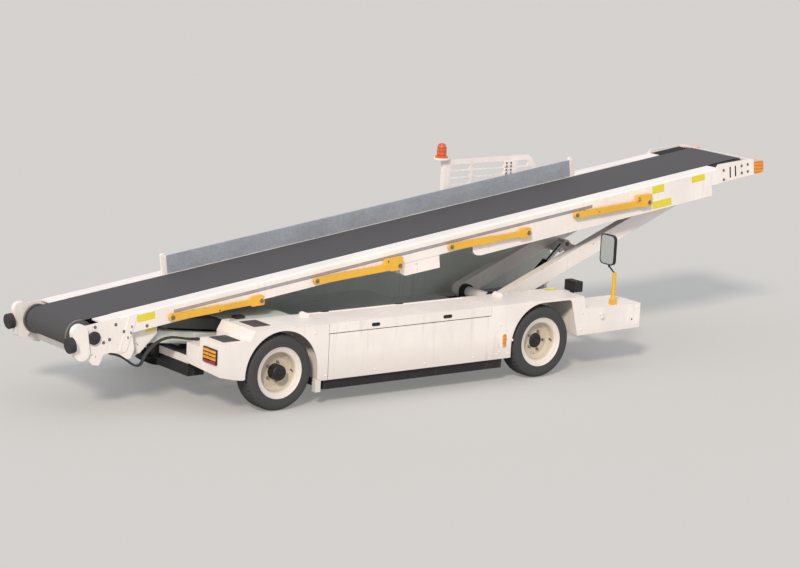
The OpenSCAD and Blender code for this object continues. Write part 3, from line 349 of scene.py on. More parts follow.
def add_node(tree, kind, inputs=None, out=0, **settings):
    """Adds a shader node with its settings, fills or links its sockets, and gives one of its outputs."""
    made = tree.nodes.new("ShaderNode" + kind)
    for name, value in settings.items():
        setattr(made, name, value)
    for key, value in (inputs or {}).items():
        if isinstance(value, bpy.types.NodeSocket):
            tree.links.new(value, made.inputs[key])
        else:
            made.inputs[key].default_value = value
    return made.outputs[out] if made.outputs else None


# settings of a Mix node that blends colours: socket 0 is the share, 6 and 7 are the two colours
BLEND = {"out": 2, "data_type": "RGBA"}
# radii between which a wheel's cream dish gives way to its white rim, and radius of the hub cap
DISH_EDGE = (0.152, 0.166)
HUB_CAP_RADIUS = 0.0635
# height above which the mirror's post is black, and share of the floor that glows
MIRROR_POST_TOP = 0.8325
FLOOR_GLOW = 0.22
MAKERS = {}


def maker(function):
    """Keeps a function as the maker of the finish that has its name."""
    MAKERS[function.__name__] = function
    return function


def finish(name):
    """The material of that name, made the first time that it is asked for."""
    found = bpy.data.materials.get(name)
    if found:
        return found
    material = bpy.data.materials.new(name)
    material.use_nodes = True
    material.node_tree.nodes.clear()
    add = functools.partial(add_node, material.node_tree)
    place = add("TexCoord", out="Object")
    add("OutputMaterial", {"Surface": MAKERS[name](add, place)})
    return material


def rgb(value):
    return (*value, 1.0)


def tone(code):
    """An sRGB hex colour as a node's socket takes it."""
    return rgb(linear(code))


def paints():
    return bpy.context.scene.loader_colours


def worn_paint(add, place, paint, gloss, chips, stains, low_dirt=0.0, rust=True):
    """Sprayed enamel that has aged outdoors: soft stains, runs under the seams, chips with rust in them.

    gloss is the clean paint's roughness, chips the height of noise above which paint is gone, and stains and
    low_dirt the share of dirt, low_dirt near the ground only. Without rust, chips show dark steel.
    """
    tones = paints()
    wear = bpy.context.scene.loader_sizes.wear
    rounded = add("Bevel", {"Radius": 0.003}, samples=4)
    cloud = add("TexNoise", {"Vector": place, "Scale": per(420), "Detail": 4.0})
    tall = add("Mapping", {"Vector": place, "Scale": (1.0, 1.0, 0.1)})
    runs = add("TexNoise", {"Vector": tall, "Scale": per(38), "Detail": 5.0, "Roughness": 0.62})
    run_mask = add("MapRange", {"Value": runs, "From Min": 0.52, "From Max": 0.78})
    cloud_mask = add("MapRange", {"Value": cloud, "From Min": 0.42, "From Max": 0.72})
    stain = add("Math", {0: run_mask, 1: cloud_mask}, operation="MULTIPLY")
    stain = add("Math", {0: stain, 1: stains * wear}, operation="MULTIPLY")
    if low_dirt:
        height = add("SeparateXYZ", {0: place}, out="Z")
        splash = {"Value": height, "From Min": 0.42, "From Max": 0.18, "To Max": low_dirt}
        low = add("MapRange", splash)
        low = add("Math", {0: low, 1: cloud}, operation="MULTIPLY")
        stain = add("Math", {0: stain, 1: low}, operation="ADD", use_clamp=True)
    drift = {"Value": cloud, "From Min": 0.3, "From Max": 0.7, "To Min": 0.9, "To Max": 1.03}
    base = add("HueSaturation", {"Value": add("MapRange", drift), "Color": rgb(paint)})
    base = add("Mix", {0: stain, 6: base, 7: rgb(tones.grime)}, **BLEND)
    rough = add("MapRange", {"Value": stain, "To Min": gloss, "To Max": 0.75})
    # chips: islands of a fine noise, and more of them where an edge is worn
    patch = add("TexNoise", {"Vector": place, "Scale": per(55), "Detail": 9.0, "Roughness": 0.66})
    flat = add("NewGeometry", out="Normal")
    bend = add("VectorMath", {0: rounded, 1: flat}, out="Value", operation="DOT_PRODUCT")
    worn = {"Value": bend, "From Min": 0.985, "From Max": 0.86, "To Max": 0.1 * wear}
    edge = add("MapRange", worn)
    patch = add("Math", {0: patch, 1: edge}, operation="ADD")
    chip = add("MapRange", {"Value": patch, "From Min": chips, "From Max": chips + 0.02})
    speck = add("TexNoise", {"Vector": place, "Scale": per(6), "Detail": 3.0})
    shade = add("MapRange", {"Value": speck, "To Min": 0.5, "To Max": 1.7})
    under = tones.rust if rust else tones.chassis
    metal = add("HueSaturation", {"Value": shade, "Color": rgb(under)})
    base = add("Mix", {0: chip, 6: base, 7: metal}, **BLEND)
    rough = add("Mix", {0: chip, 2: rough, 3: 0.85})
    skin = add("Math", {0: speck, 1: 0.15}, operation="MULTIPLY")
    skin = add("Math", {0: skin, 1: chip}, operation="SUBTRACT")
    bump = add("Bump", {"Height": skin, "Strength": 0.35, "Distance": 0.0006, "Normal": rounded})
    return add("BsdfPrincipled", {"Base Color": base, "Roughness": rough, "Normal": bump, "IOR": 1.5})


def enamel(add, place, paint, **age):
    return worn_paint(add, place, getattr(paints(), paint), **age)


def wheel_enamel(add, place, centre):
    """Pressed steel wheel: white rim, a darker cream dish inside it, black hub cap."""
    moved_place = add("Mapping", {"Vector": place, "Location": (-centre.x, 0.0, -centre.z)})
    flat = add("VectorMath", {0: moved_place, 1: (1.0, 0.0, 1.0)}, operation="MULTIPLY")
    radius = add("VectorMath", {0: flat}, out="Value", operation="LENGTH")
    rim = worn_paint(add, place, linear("e9e2da"), 0.42, 0.73, 0.6)
    dish = worn_paint(add, place, linear("cfc2ae"), 0.55, 0.68, 0.9)
    black = add("BsdfPrincipled", {"Base Color": tone("1b191b"), "Roughness": 0.5})
    dish_end, rim_start = DISH_EDGE
    outer = add("MapRange", {"Value": radius, "From Min": dish_end, "From Max": rim_start})
    hub = add("Math", {0: radius, 1: HUB_CAP_RADIUS}, operation="LESS_THAN")
    paint = add("MixShader", {0: outer, 1: dish, 2: rim})
    return add("MixShader", {0: hub, 1: paint, 2: black})


def grainy(add, place, cell, detail, dark, light, rough, metallic=0.0, relief=0.0):
    """A dull surface between two colours, whose grains of cell millimetres may stand out."""
    grain = add("TexNoise", {"Vector": place, "Scale": per(cell), "Detail": detail})
    base = add("Mix", {0: grain, 6: tone(dark), 7: tone(light)}, **BLEND)
    look = {"Base Color": base, "Metallic": metallic, "Roughness": rough}
    if relief:
        look["Normal"] = add("Bump", {"Height": grain, "Strength": relief, "Distance": 0.001})
    return add("BsdfPrincipled", look)


def smooth(add, place, cell, detail, code, low, high, metallic=0.0):
    """A smooth surface of one colour, whose roughness drifts from low to high over cell millimetres."""
    haze = add("TexNoise", {"Vector": place, "Scale": per(cell), "Detail": detail})
    rough = add("MapRange", {"Value": haze, "To Min": low, "To Max": high})
    look = {"Base Color": tone(code), "Metallic": metallic, "Roughness": rough}
    return add("BsdfPrincipled", look)


def lens(add, place, tint):
    """Moulded polycarbonate lens, glossy, with ribs inside that are drawn 31 mm apart so that they show."""
    ribs = add("TexWave", {"Vector": place, "Scale": bands(31.4)}, bands_direction="Z")
    shade = add("MapRange", {"Value": ribs, "To Min": 0.75, "To Max": 1.1})
    look = {
        "Base Color": add("HueSaturation", {"Value": shade, "Color": rgb(getattr(paints(), tint))}),
        "Roughness": 0.18,
        "Subsurface Weight": 0.3,
        "Subsurface Radius": (0.01, 0.006, 0.002),
        "Coat Weight": 0.6,
        "Normal": add("Bump", {"Height": ribs, "Strength": 0.3, "Distance": 0.0008}),
    }
    return add("BsdfPrincipled", look)


# finishes that differ only in the values that their maker gets
LIKE_FINISHES = {
    enamel: {
        # two-pack white on steel sheet: satin, stained low down, rusty at chips
        "body_enamel": dict(paint="body", gloss=0.36, chips=0.70, stains=0.45, low_dirt=0.5),
        # the same white on the boom, cleaner but chipped where baggage rubs
        "boom_enamel": dict(paint="body", gloss=0.34, chips=0.69, stains=0.40),
        # brushed grey of deck and arms, dull and dusty
        "grey_enamel": dict(paint="grey", gloss=0.55, chips=0.72, stains=0.50),
        # traffic yellow on the posts, worn to steel at the edges
        "yellow_enamel": dict(paint="post", gloss=0.40, chips=0.64, stains=0.35, rust=False),
        # black chassis paint with road dust on it
        "chassis_enamel": dict(paint="chassis", gloss=0.60, chips=0.74, stains=0.50),
    },
    wheel_enamel: {
        "rear_wheel_enamel": dict(centre=REAR_WHEEL),
        "front_wheel_enamel": dict(centre=FRONT_WHEEL),
    },
    grainy: {
        # sand-cast iron, dark, with grains that stand out
        "cast_iron": dict(
            cell=3, detail=4, dark="2b2b2d", light="4a4846", rough=0.75, metallic=0.3, relief=0.5
        ),
        # solid rubber buffer, chalky at its face
        "bumper_rubber": dict(cell=25, detail=5, dark="1c1b1d", light="454042", rough=0.8),
        # shadow inside slots and joints, a dull black
        "dark_gap": dict(cell=50, detail=2, dark="121112", light="282526", rough=0.9),
        # grey rub strip of moulded plastic in the rail's groove
        "groove_strip": dict(cell=70, detail=5, dark="8f8b90", light="b4b0b2", rough=0.6),
    },
    smooth: {
        # hard-chromed cylinder rod under a film of oil
        "chrome_rod": dict(cell=30, detail=3, code="d8d9dc", low=0.08, high=0.22, metallic=1.0),
        # wire-braided hose with a smooth black cover
        "hose_rubber": dict(cell=8, detail=3, code="18171a", low=0.35, high=0.6),
        # silvered glass whose roughness is hazed with dust; its pale colour is a painted reflection of
        # bright sky, which keeps it bright from every side
        "mirror_glass": dict(cell=40, detail=4, code="dde2e5", low=0.02, high=0.16, metallic=0.45),
        # gauge face under glass, black
        "dial_face": dict(cell=12, detail=2, code="0e0e10", low=0.08, high=0.2),
    },
    lens: {name + "_lens": dict(tint=name) for name in ("amber", "red", "tail", "beacon")},
}
for function, rows in LIKE_FINISHES.items():
    MAKERS.update({name: functools.partial(function, **values) for name, values in rows.items()})


def along_boom(add, place):
    """How far along the boom a point lies, counted like the lengths of the boom's own frame."""
    far = add("VectorMath", {0: place, 1: BOOM_AXIS}, out="Value", operation="DOT_PRODUCT")
    return add("Math", {0: far, 1: at(0, 0, BELT_Z).dot(BOOM_AXIS)}, operation="SUBTRACT")


@maker
def tail_enamel(add, place):
    """White end caps and plates; the buffers behind them are black rubber."""
    white = worn_paint(add, place, paints().body, 0.34, 0.66, 0.5)
    black = MAKERS["bumper_rubber"](add, place)
    behind = add("Math", {0: along_boom(add, place), 1: CAP_REAR}, operation="LESS_THAN")
    return add("MixShader", {0: behind, 1: white, 2: black})


@maker
def mirror_post_paint(add, place):
    """Yellow post whose upper arm and mirror are black."""
    yellow = worn_paint(add, place, paints().post, 0.4, 0.66, 0.35, rust=False)
    black = add("BsdfPrincipled", {"Base Color": tone("15151a"), "Roughness": 0.4})
    height = add("SeparateXYZ", {0: place}, out="Z")
    upper = add("Math", {0: height, 1: MIRROR_POST_TOP}, operation="GREATER_THAN")
    return add("MixShader", {0: upper, 1: yellow, 2: black})


@maker
def galvanised_sheet(add, place):
    """Hot-dip galvanised sheet: dull spangle of 12 mm grains; the posts at its ends are painted white."""
    grains = add("TexVoronoi", {"Vector": place, "Scale": per(12)}, out="Color")
    value = add("SeparateColor", {0: grains}, out="Red")
    cloud = add("TexNoise", {"Vector": place, "Scale": per(260), "Detail": 5.0})
    shade = add("MapRange", {"Value": value, "To Min": 0.9, "To Max": 1.08})
    cloud = add("MapRange", {"Value": cloud, "To Min": 0.75, "To Max": 1.2})
    shade = add("Math", {0: shade, 1: cloud}, operation="MULTIPLY")
    base = add("HueSaturation", {"Value": shade, "Color": tone("bcc1c8")})
    rough = add("MapRange", {"Value": value, "To Min": 0.42, "To Max": 0.6})
    zinc = add("BsdfPrincipled", {"Base Color": base, "Metallic": 0.55, "Roughness": rough})
    white = worn_paint(add, place, paints().body, 0.4, 0.7, 0.4)
    first, last = SHEET_POSTS
    away = add("Math", {0: along_boom(add, place), 1: (first + last) / 2}, operation="SUBTRACT")
    away = add("Math", {0: away}, operation="ABSOLUTE")
    post = add("Math", {0: away, 1: (last - first) / 2}, operation="GREATER_THAN")
    return add("MixShader", {0: post, 1: zinc, 2: white})


@maker
def zinc_steel(add, place):
    """Zinc-plated rollers and bolts, brushed by use into lines of 4 mm."""
    fine = add("Mapping", {"Vector": place, "Scale": (1.0, 0.08, 1.0)})
    lines = add("TexNoise", {"Vector": fine, "Scale": per(4), "Detail": 4.0})
    base = add("Mix", {0: lines, 6: tone("6f6a64"), 7: tone("a5a29c")}, **BLEND)
    rough = add("MapRange", {"Value": lines, "To Min": 0.3, "To Max": 0.5})
    return add("BsdfPrincipled", {"Base Color": base, "Metallic": 0.85, "Roughness": rough})


@maker
def belt_rubber(add, place):
    """Woven belt with a rough black cover: cross ribs drawn 88 mm apart to show, scuffs and dust."""
    level = add("Mapping", {"Vector": place, "Rotation": (0.0, PITCH, 0.0)})
    waves = {"Vector": level, "Scale": bands(88), "Distortion": 0.6, "Detail": 1.0}
    ribs = add("TexWave", waves, bands_direction="X")
    drawn_out = add("Mapping", {"Vector": level, "Scale": (0.06, 1.0, 1.0)})
    scuff = add("TexNoise", {"Vector": drawn_out, "Scale": per(26), "Detail": 7.0, "Roughness": 0.7})
    cloud = add("TexNoise", {"Vector": place, "Scale": per(300), "Detail": 5.0})
    dust = add("MapRange", {"Value": scuff, "From Min": 0.52, "From Max": 0.85, "To Max": 0.35})
    dust = add("Math", {0: dust, 1: cloud}, operation="MULTIPLY")
    height = add("Math", {0: ribs, 1: scuff}, operation="ADD")
    tones = {0: dust, 6: rgb(paints().belt), 7: tone("4a4442")}
    look = {
        "Base Color": add("Mix", tones, **BLEND),
        "Roughness": 0.9,
        "Specular IOR Level": 0.0,
        "Normal": add("Bump", {"Height": height, "Strength": 0.4, "Distance": 0.001}),
    }
    return add("BsdfPrincipled", look)


@maker
def tyre_rubber(add, place):
    """Vulcanised rubber gone brown-grey with road dust."""
    cloud = add("TexNoise", {"Vector": place, "Scale": per(90), "Detail": 6.0, "Roughness": 0.6})
    fine = add("TexNoise", {"Vector": place, "Scale": per(2.5), "Detail": 2.0})
    dust = add("MapRange", {"Value": cloud, "From Min": 0.4, "From Max": 0.75, "To Max": 0.55})
    tones = {0: dust, 6: rgb(paints().rubber), 7: tone("57504a")}
    look = {
        "Base Color": add("Mix", tones, **BLEND),
        "Roughness": 0.85,
        "Specular IOR Level": 0.05,
        "Normal": add("Bump", {"Height": fine, "Strength": 0.25, "Distance": 0.0005}),
    }
    return add("BsdfPrincipled", look)


@maker
def black_moulding(add, place):
    """Injection-moulded black plastic with a fine spark texture."""
    fine = add("TexNoise", {"Vector": place, "Scale": per(1.5), "Detail": 2.0})
    bump = add("Bump", {"Height": fine, "Strength": 0.2, "Distance": 0.0003})
    look = {"Base Color": tone("1a1a1c"), "Roughness": 0.5, "Normal": bump}
    return add("BsdfPrincipled", look)


@maker
def seat_vinyl(add, place):
    """Black woven seat cloth, soft and dull: its ribs are drawn 19 mm apart so that they show."""
    rib = {"Vector": place, "Scale": bands(18.85), "Distortion": 0.3}
    weave = add("TexWave", rib, bands_direction="Y")
    cross = add("TexWave", rib, bands_direction="X")
    height = add("Math", {0: weave, 1: cross}, operation="MULTIPLY")
    tones = {0: height, 6: tone("141416"), 7: tone("2c2c30")}
    look = {
        "Base Color": add("Mix", tones, **BLEND),
        "Roughness": 0.85,
        "Sheen Weight": 0.2,
        "Normal": add("Bump", {"Height": height, "Strength": 0.3, "Distance": 0.0006}),
    }
    return add("BsdfPrincipled", look)


@maker
def grit_film(add, place):
    """Anti-slip film: black mineral grit of 2 mm, worn grey where feet land."""
    grit = add("TexVoronoi", {"Vector": place, "Scale": per(2.2)})
    cloud = add("TexNoise", {"Vector": place, "Scale": per(120), "Detail": 4.0})
    base = add("Mix", {0: cloud, 6: tone("2e2b2d"), 7: tone("5e5857")}, **BLEND)
    bump = add("Bump", {"Height": grit, "Strength": 0.8, "Distance": 0.001})
    return add("BsdfPrincipled", {"Base Color": base, "Roughness": 0.9, "Normal": bump})


@maker
def label_film(add, place):
    """Blank yellow vinyl film, sun-bleached in places."""
    cloud = add("TexNoise", {"Vector": place, "Scale": per(40), "Detail": 4.0})
    shade = add("MapRange", {"Value": cloud, "To Min": 0.85, "To Max": 1.12})
    base = add("HueSaturation", {"Value": shade, "Color": rgb(paints().label)})
    return add("BsdfPrincipled", {"Base Color": base, "Roughness": 0.45})


@maker
def clear_lens(add, place):
    """Lamp glass over a silvered reflector, with flutes drawn 56 mm apart so that they show."""
    flutes = add("TexWave", {"Vector": place, "Scale": bands(56.5)}, bands_direction="Y")
    look = {
        "Base Color": tone("c9ccd0"),
        "Metallic": 0.6,
        "Roughness": 0.12,
        "Coat Weight": 1.0,
        "Normal": add("Bump", {"Height": flutes, "Strength": 0.5, "Distance": 0.001}),
    }
    return add("BsdfPrincipled", look)


@maker
def studio_floor(add, place):
    """Matt pale floor that keeps shadows and glows a little where the camera sees it."""
    matt = add("BsdfDiffuse", {"Color": tone("c9c7c3")})
    glow = add("Emission", {"Color": tone("f4f3f1"), "Strength": 1.0})
    path = add("LightPath", out="Is Camera Ray")
    share = add("Math", {0: path, 1: FLOOR_GLOW}, operation="MULTIPLY")
    return add("MixShader", {0: share, 1: matt, 2: glow})


CAD_FINISH = {
    "body_enamel": ("body_right", "body_left", "lid_right", "engine_hood", "dash_panel", "slotted_guard"),
    "boom_enamel": ("boom_frame", "lift_arms", "lift_tube"),
    "tail_enamel": ("tail_end",),
    "grey_enamel": ("centre_deck", "link_arms", "tail_bracket"),
    "chassis_enamel": (
        "chassis_frame", "driver_floor", "rear_axle", "front_axle", "knuckle_right", "knuckle_left",
        "lift_barrel",
    ),
    "yellow_enamel": ("post_1", "post_2", "post_3", "post_4"),
    "mirror_post_paint": ("mirror_post",),
    "rear_wheel_enamel": ("wheel_rear_right", "wheel_rear_left"),
    "front_wheel_enamel": ("wheel_front_right", "wheel_front_left"),
    "galvanised_sheet": ("guard_sheet",),
    "zinc_steel": ("tail_roller", "nose_roller"),
    "chrome_rod": ("lift_rod",),
    "cast_iron": ("engine_block",),
    "belt_rubber": ("belt",),
    "tyre_rubber": ("tyre_rear_right", "tyre_rear_left", "tyre_front_right", "tyre_front_left"),
    "hose_rubber": ("hose_outer", "hose_inner"),
    "amber_lens": ("lamps", "boom_lamps"),
    "beacon_lens": ("beacon",),
    "black_moulding": ("steering_wheel",),
    "seat_vinyl": ("seat_pads",),
}


class LOADER_OT_finishes(bpy.types.Operator):
    """Give every part of the frame its finish"""

    bl_idname = "loader.finishes"
    bl_label = "Frame finishes"

    def execute(self, context):
        for name, nodes in CAD_FINISH.items():
            for node in nodes:
                mesh = NODES[node].data
                mesh.materials.clear()
                mesh.materials.append(finish(name))
        return {"FINISHED"}


# Stage

# the camera of the photograph: place from the rear axle, view direction, and roll
CAMERA_PLACE = (-11.5929, -17.6362, 5.1277)
CAMERA_TURN = math.radians(37.292)
CAMERA_DIP = math.radians(11.329)
CAMERA_ROLL = math.radians(2.868)
SENSOR_MM = 36
SUN_FROM = (-0.62, -0.55, 0.56)
SUN = {"energy": 2.3, "angle": math.radians(9), "color": linear("fff3e4")}
# strength of the sky as a light, and where it is seen or mirrored
SKY = (0.72, 0.9)
FLOOR_HALF = 120.0
VIEW_DEPTH = 500


class LOADER_OT_stage(bpy.types.Operator):
    """Set up the floor, the light and the camera of the photograph"""

    bl_idname = "loader.stage"
    bl_label = "Stage"

    def execute(self, context):
        scene = context.scene
        scene.view_settings.view_transform = "Standard"
        clear()
        bpy.ops.mesh.primitive_plane_add(size=2 * FLOOR_HALF, location=(0, 0, 0))
        floor = context.object
        floor.name = "floor"
        floor.data.materials.append(finish("studio_floor"))
        bpy.ops.object.light_add(type="SUN", location=(0, 0, 10))
        sun = context.object
        for key, value in SUN.items():
            setattr(sun.data, key, value)
        sun.rotation_euler = Vector(SUN_FROM).to_track_quat("Z", "Y").to_euler()
        world = bpy.data.worlds.new("studio")
        scene.world = world
        world.use_nodes = True
        world.node_tree.nodes.clear()
        add = functools.partial(add_node, world.node_tree)
        path = world.node_tree.nodes.new("ShaderNodeLightPath").outputs
        seen = add("Math", {0: path["Is Camera Ray"], 1: path["Is Glossy Ray"]}, operation="MAXIMUM")
        seen = add("Math", {0: seen, 1: path["Is Transmission Ray"]}, operation="MAXIMUM")
        strength = add("MapRange", {"Value": seen, "To Min": SKY[0], "To Max": SKY[1]})
        light = add("Background", {"Color": tone("eef2fa"), "Strength": strength})
        add("OutputWorld", {"Surface": light})
        level = Vector((math.cos(CAMERA_TURN), -math.sin(CAMERA_TURN), 0))
        heading = Vector((math.sin(CAMERA_TURN), math.cos(CAMERA_TURN), 0))
        ahead = heading * math.cos(CAMERA_DIP) - Vector((0, 0, math.sin(CAMERA_DIP)))
        over = level.cross(ahead)
        right = level * math.cos(CAMERA_ROLL) + over * math.sin(CAMERA_ROLL)
        up = over * math.cos(CAMERA_ROLL) - level * math.sin(CAMERA_ROLL)
        bpy.ops.object.camera_add(location=at(*CAMERA_PLACE))
        camera = context.object
        camera.rotation_euler = Matrix((right, up, -ahead)).transposed().to_euler()
        camera.data.sensor_width = SENSOR_MM
        camera.data.lens = scene.loader_sizes.lens
        camera.data.clip_end = VIEW_DEPTH
        scene.camera = camera
        return {"FINISHED"}


# Hoses

# route of a hose from the clamp on the link arm back to the boom's tail: x and z from the rear axle
HOSE_ROUTE = (
    (-0.430, 0.518), (-0.456, 0.518), (-0.496, 0.520), (-0.540, 0.526), (-0.584, 0.535), (-0.630, 0.544),
    (-0.676, 0.550), (-0.722, 0.549), (-0.766, 0.540), (-0.806, 0.524), (-0.842, 0.502), (-0.874, 0.476),
    (-0.900, 0.450), (-0.920, 0.424), (-0.934, 0.398), (-0.944, 0.374), (-0.962, 0.358), (-0.988, 0.354),
    (-1.016, 0.364), (-1.044, 0.382), (-1.074, 0.404), (-1.108, 0.427), (-1.146, 0.447), (-1.186, 0.462),
    (-1.226, 0.473), (-1.262, 0.486), (-1.286, 0.506), (-1.298, 0.528),
)
HOSE_DIAMETER = 0.016
# the node that each hose stands for and how far it lies from the middle
HOSES = {"hose_outer": -0.437, "hose_inner": -0.417}


class LOADER_OT_hoses(bpy.types.Operator):
    """Lay the two hydraulic hoses that run to the belt's drive"""

    bl_idname = "loader.hoses"
    bl_label = "Hydraulic hoses"

    def execute(self, context):
        for node, y in HOSES.items():
            curve = bpy.data.curves.new(node + "_line", "CURVE")
            curve.dimensions = "3D"
            curve.bevel_depth = HOSE_DIAMETER / 2
            curve.bevel_resolution = 5
            curve.use_fill_caps = True
            line = curve.splines.new("POLY")
            line.points.add(len(HOSE_ROUTE) - 1)
            for point, (x, z) in zip(line.points, HOSE_ROUTE):
                point.co = (*at(x, y, z), 1)
                point.radius = 1
            line.use_smooth = True
            hose = bpy.data.objects.new(node + "_line", curve)
            context.scene.collection.objects.link(hose)
            hose.data.materials.append(finish("hose_rubber"))
            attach(hose, "link_arms")
            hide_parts(node)
        return {"FINISHED"}


# Tyres and wheels

TYRE_SIDES = 192
# grooves: distances from the middle plane, half width at the tread and at the foot
GROOVES = (-0.036, -0.012, 0.012, 0.036)
GROOVE_TOP = 0.0036
GROOVE_FOOT = 0.0026
TREAD_RADIUS = 0.3055
# one half of the tyre's section, from the bead outwards: radius and distance from the middle plane
TYRE_HALF = (
    (0.1986, 0.072), (0.2084, 0.0822), (0.2084, 0.091), (0.216, 0.0938), (0.222, 0.0925), (0.231, 0.0925),
    (0.236, 0.0944), (0.250, 0.0948), (0.268, 0.0935), (0.282, 0.0895), (0.291, 0.083), (0.2968, 0.075),
    (0.3015, 0.065), (0.304, 0.055),
)
# cuts in the shoulders: least radius, nearest and farthest from the middle plane, every how many sides
CUT_RADIUS = 0.29
CUT_SPAN = (0.0575, 0.084)
CUT_STEP = 4
CUT_SHARE = 0.6


def tyre_model(depth):
    """A tyre round Z with four grooves and cut shoulders."""
    rings = [(r, -a) for r, a in TYRE_HALF]
    foot = TREAD_RADIUS - depth
    for groove in GROOVES:
        rings += [(TREAD_RADIUS, groove - GROOVE_TOP), (foot, groove - GROOVE_FOOT)]
        rings += [(foot, groove + GROOVE_FOOT), (TREAD_RADIUS, groove + GROOVE_TOP)]
    rings += [(r, a) for r, a in reversed(TYRE_HALF)]
    tyre = turned("tyre", rings, TYRE_SIDES, closed=True)
    bpy.ops.object.mode_set(mode="EDIT")

    def shoulder(face):
        spot = face.calc_center_median()
        step = round(math.atan2(spot.y, spot.x) / math.tau * TYRE_SIDES - 0.5) % CUT_STEP
        near, far = CUT_SPAN
        return step == 0 and near < abs(spot.z) < far and math.hypot(spot.x, spot.y) > CUT_RADIUS

    pick(tyre, "FACE", shoulder)
    bpy.ops.mesh.extrude_region_shrink_fatten(TRANSFORM_OT_shrink_fatten={"value": -depth * CUT_SHARE})
    bpy.ops.object.mode_set(mode="OBJECT")
    return tyre


def wheel_places():
    """Name, body and place of each wheel; a model's +Z looks away from the machine."""
    for end, x in (("rear", 0.0), ("front", WHEELBASE)):
        for side, sign in SIDES.items():
            place = facing(at(x, sign * WHEEL_Y, TYRE_RADIUS), OUTWARD[sign])
            yield f"{end}_{side}", f"{end}_{side}_wheel", place


class LOADER_OT_tyres(bpy.types.Operator):
    """Model the four tyres with their grooves"""

    bl_idname = "loader.tyres"
    bl_label = "Tyres"

    def execute(self, context):
        model = tyre_model(context.scene.loader_sizes.groove)
        for name, body, place in wheel_places():
            tread = copied(model, place)
            settle(tread, body, "tyre_rubber", replaces=("tyre_" + name,))
            tread.name = "tread_" + name
        bpy.data.objects.remove(model)
        return {"FINISHED"}


NUT_CIRCLE = 0.079
CAP_SCREWS = 6
CAP_CIRCLE = 0.033
# height above the wheel's middle plane of the disc and of each end's hub cap
DISC_FACE = 0.012
HUB_OUT = {"rear": 0.095, "front": 0.025}
VALVE_PLACE = Matrix.Translation((0.149, 0, 0.018)) @ turn(math.radians(-18), "Y")
BOSS_SEAT = Matrix.Translation((0, 0, -0.0005))


def round_z(radius, height, count, start=0.0):
    """Places on a circle round Z, the first one start steps on."""
    for k in range(count):
        yield turn(math.tau * (k + start) / count, "Z") @ Matrix.Translation((radius, 0, height))


class LOADER_OT_wheel_fittings(bpy.types.Operator):
    """Add nuts, hub cap screws and a valve to each wheel"""

    bl_idname = "loader.wheel_fittings"
    bl_label = "Wheel fittings"

    def execute(self, context):
        count = context.scene.loader_sizes.wheel_nuts
        nut = join("nut", [fitting("nut_seat"), fitting("nut_hex"), fitting("nut_stud")])
        nuts = pattern("nuts", nut, round_z(NUT_CIRCLE, DISC_FACE, count))
        screws = pattern("cap", fitting("cap_screw"), round_z(CAP_CIRCLE, 0, CAP_SCREWS, start=0.5))
        cap = join("cap", [screws, fitting("cap_boss", BOSS_SEAT)])
        valve = fitting("valve", VALVE_PLACE)
        for name, body, place in wheel_places():
            hub = place @ Matrix.Translation((0, 0, HUB_OUT[name.split("_")[0]]))
            settle(copied(nuts, place), body, "zinc_steel").name = "nuts_" + name
            settle(copied(cap, hub), body, "black_moulding").name = "hub_cap_" + name
            settle(copied(valve, place), body, "black_moulding").name = "valve_" + name
        for model in (nuts, cap, valve):
            bpy.data.objects.remove(model)
        return {"FINISHED"}


# Seat

# each pad: its box, and the axes across its channels and through its thickness
SEAT_PADS = {
    "seat_cushion": ((2.560, 0.570, 0.7505), (2.990, 0.915, 0.850), 1, 2),
    "seat_back": ((2.475, 0.580, 0.860), (2.556, 0.905, 1.160), 1, 0),
}
SEAT_CHANNELS = (0.665, 0.7425, 0.820)
CHANNEL_HALF = 0.005
SEAT_STEPS = 20
PAD_EDGES = {"bevel": 0.022, "segments": 4}
PAD_VOXEL = 0.006
# how far a pad may swell, the room that it leaves for that, and how thick its held foot is
SEAT_SWELL = 0.012
SEAT_ROOM = Vector((0.013, 0.013, 0.013))
SEAT_FOOT = 0.012


def padded_block(name, low, high, across, through):
    """A sewn pad: a rounded block that is remeshed, blown up as cloth and held down along its channels."""
    pad = block(name, low, high, **PAD_EDGES)
    remesh = pad.modifiers.new("remesh", "REMESH")
    remesh.voxel_size = PAD_VOXEL
    remesh.mode = "VOXEL"
    only(pad)
    bpy.ops.object.modifier_apply(modifier="remesh")
    start = [v.co.copy() for v in pad.data.vertices]
    held = pad.vertex_groups.new(name="held")
    bottom = min(co[through] for co in start)
    middle_level = (bottom + max(co[through] for co in start)) / 2
    for v in pad.data.vertices:
        level = v.co[through]
        near = min(abs(v.co[across] - channel) for channel in SEAT_CHANNELS)
        if level < bottom + SEAT_FOOT:
            held.add([v.index], 1.0, "REPLACE")
        elif near < CHANNEL_HALF and level > middle_level:
            held.add([v.index], 0.9, "REPLACE")
    cloth = pad.modifiers.new("cloth", "CLOTH")
    cloth.settings.use_pressure = True
    cloth.settings.uniform_pressure_force = 4
    cloth.settings.vertex_group_mass = "held"
    cloth.settings.effector_weights.gravity = 0
    cloth.point_cache.frame_end = SEAT_STEPS
    scene = bpy.context.scene
    for step in range(1, SEAT_STEPS + 1):
        scene.frame_set(step)
    only(pad)
    bpy.ops.object.modifier_apply(modifier="cloth")
    scene.frame_set(1)
    for v, was in zip(pad.data.vertices, start):
        swollen = v.co - was
        if swollen.length > SEAT_SWELL:
            v.co = was + swollen.normalized() * SEAT_SWELL
    return pad


class LOADER_OT_seat(bpy.types.Operator):
    """Model the driver's seat with its sewn pads"""

    bl_idname = "loader.seat"
    bl_label = "Driver's seat"

    def execute(self, context):
        for name, (low, high, across, through) in SEAT_PADS.items():
            pad = padded_block(name, at(*low) + SEAT_ROOM, at(*high) - SEAT_ROOM, across, through)
            stands_for = ("seat_pads",) if name == "seat_cushion" else ()
            settle(pad, "chassis", "seat_vinyl", angle=60, replaces=stands_for)
        return {"FINISHED"}


# Body fittings

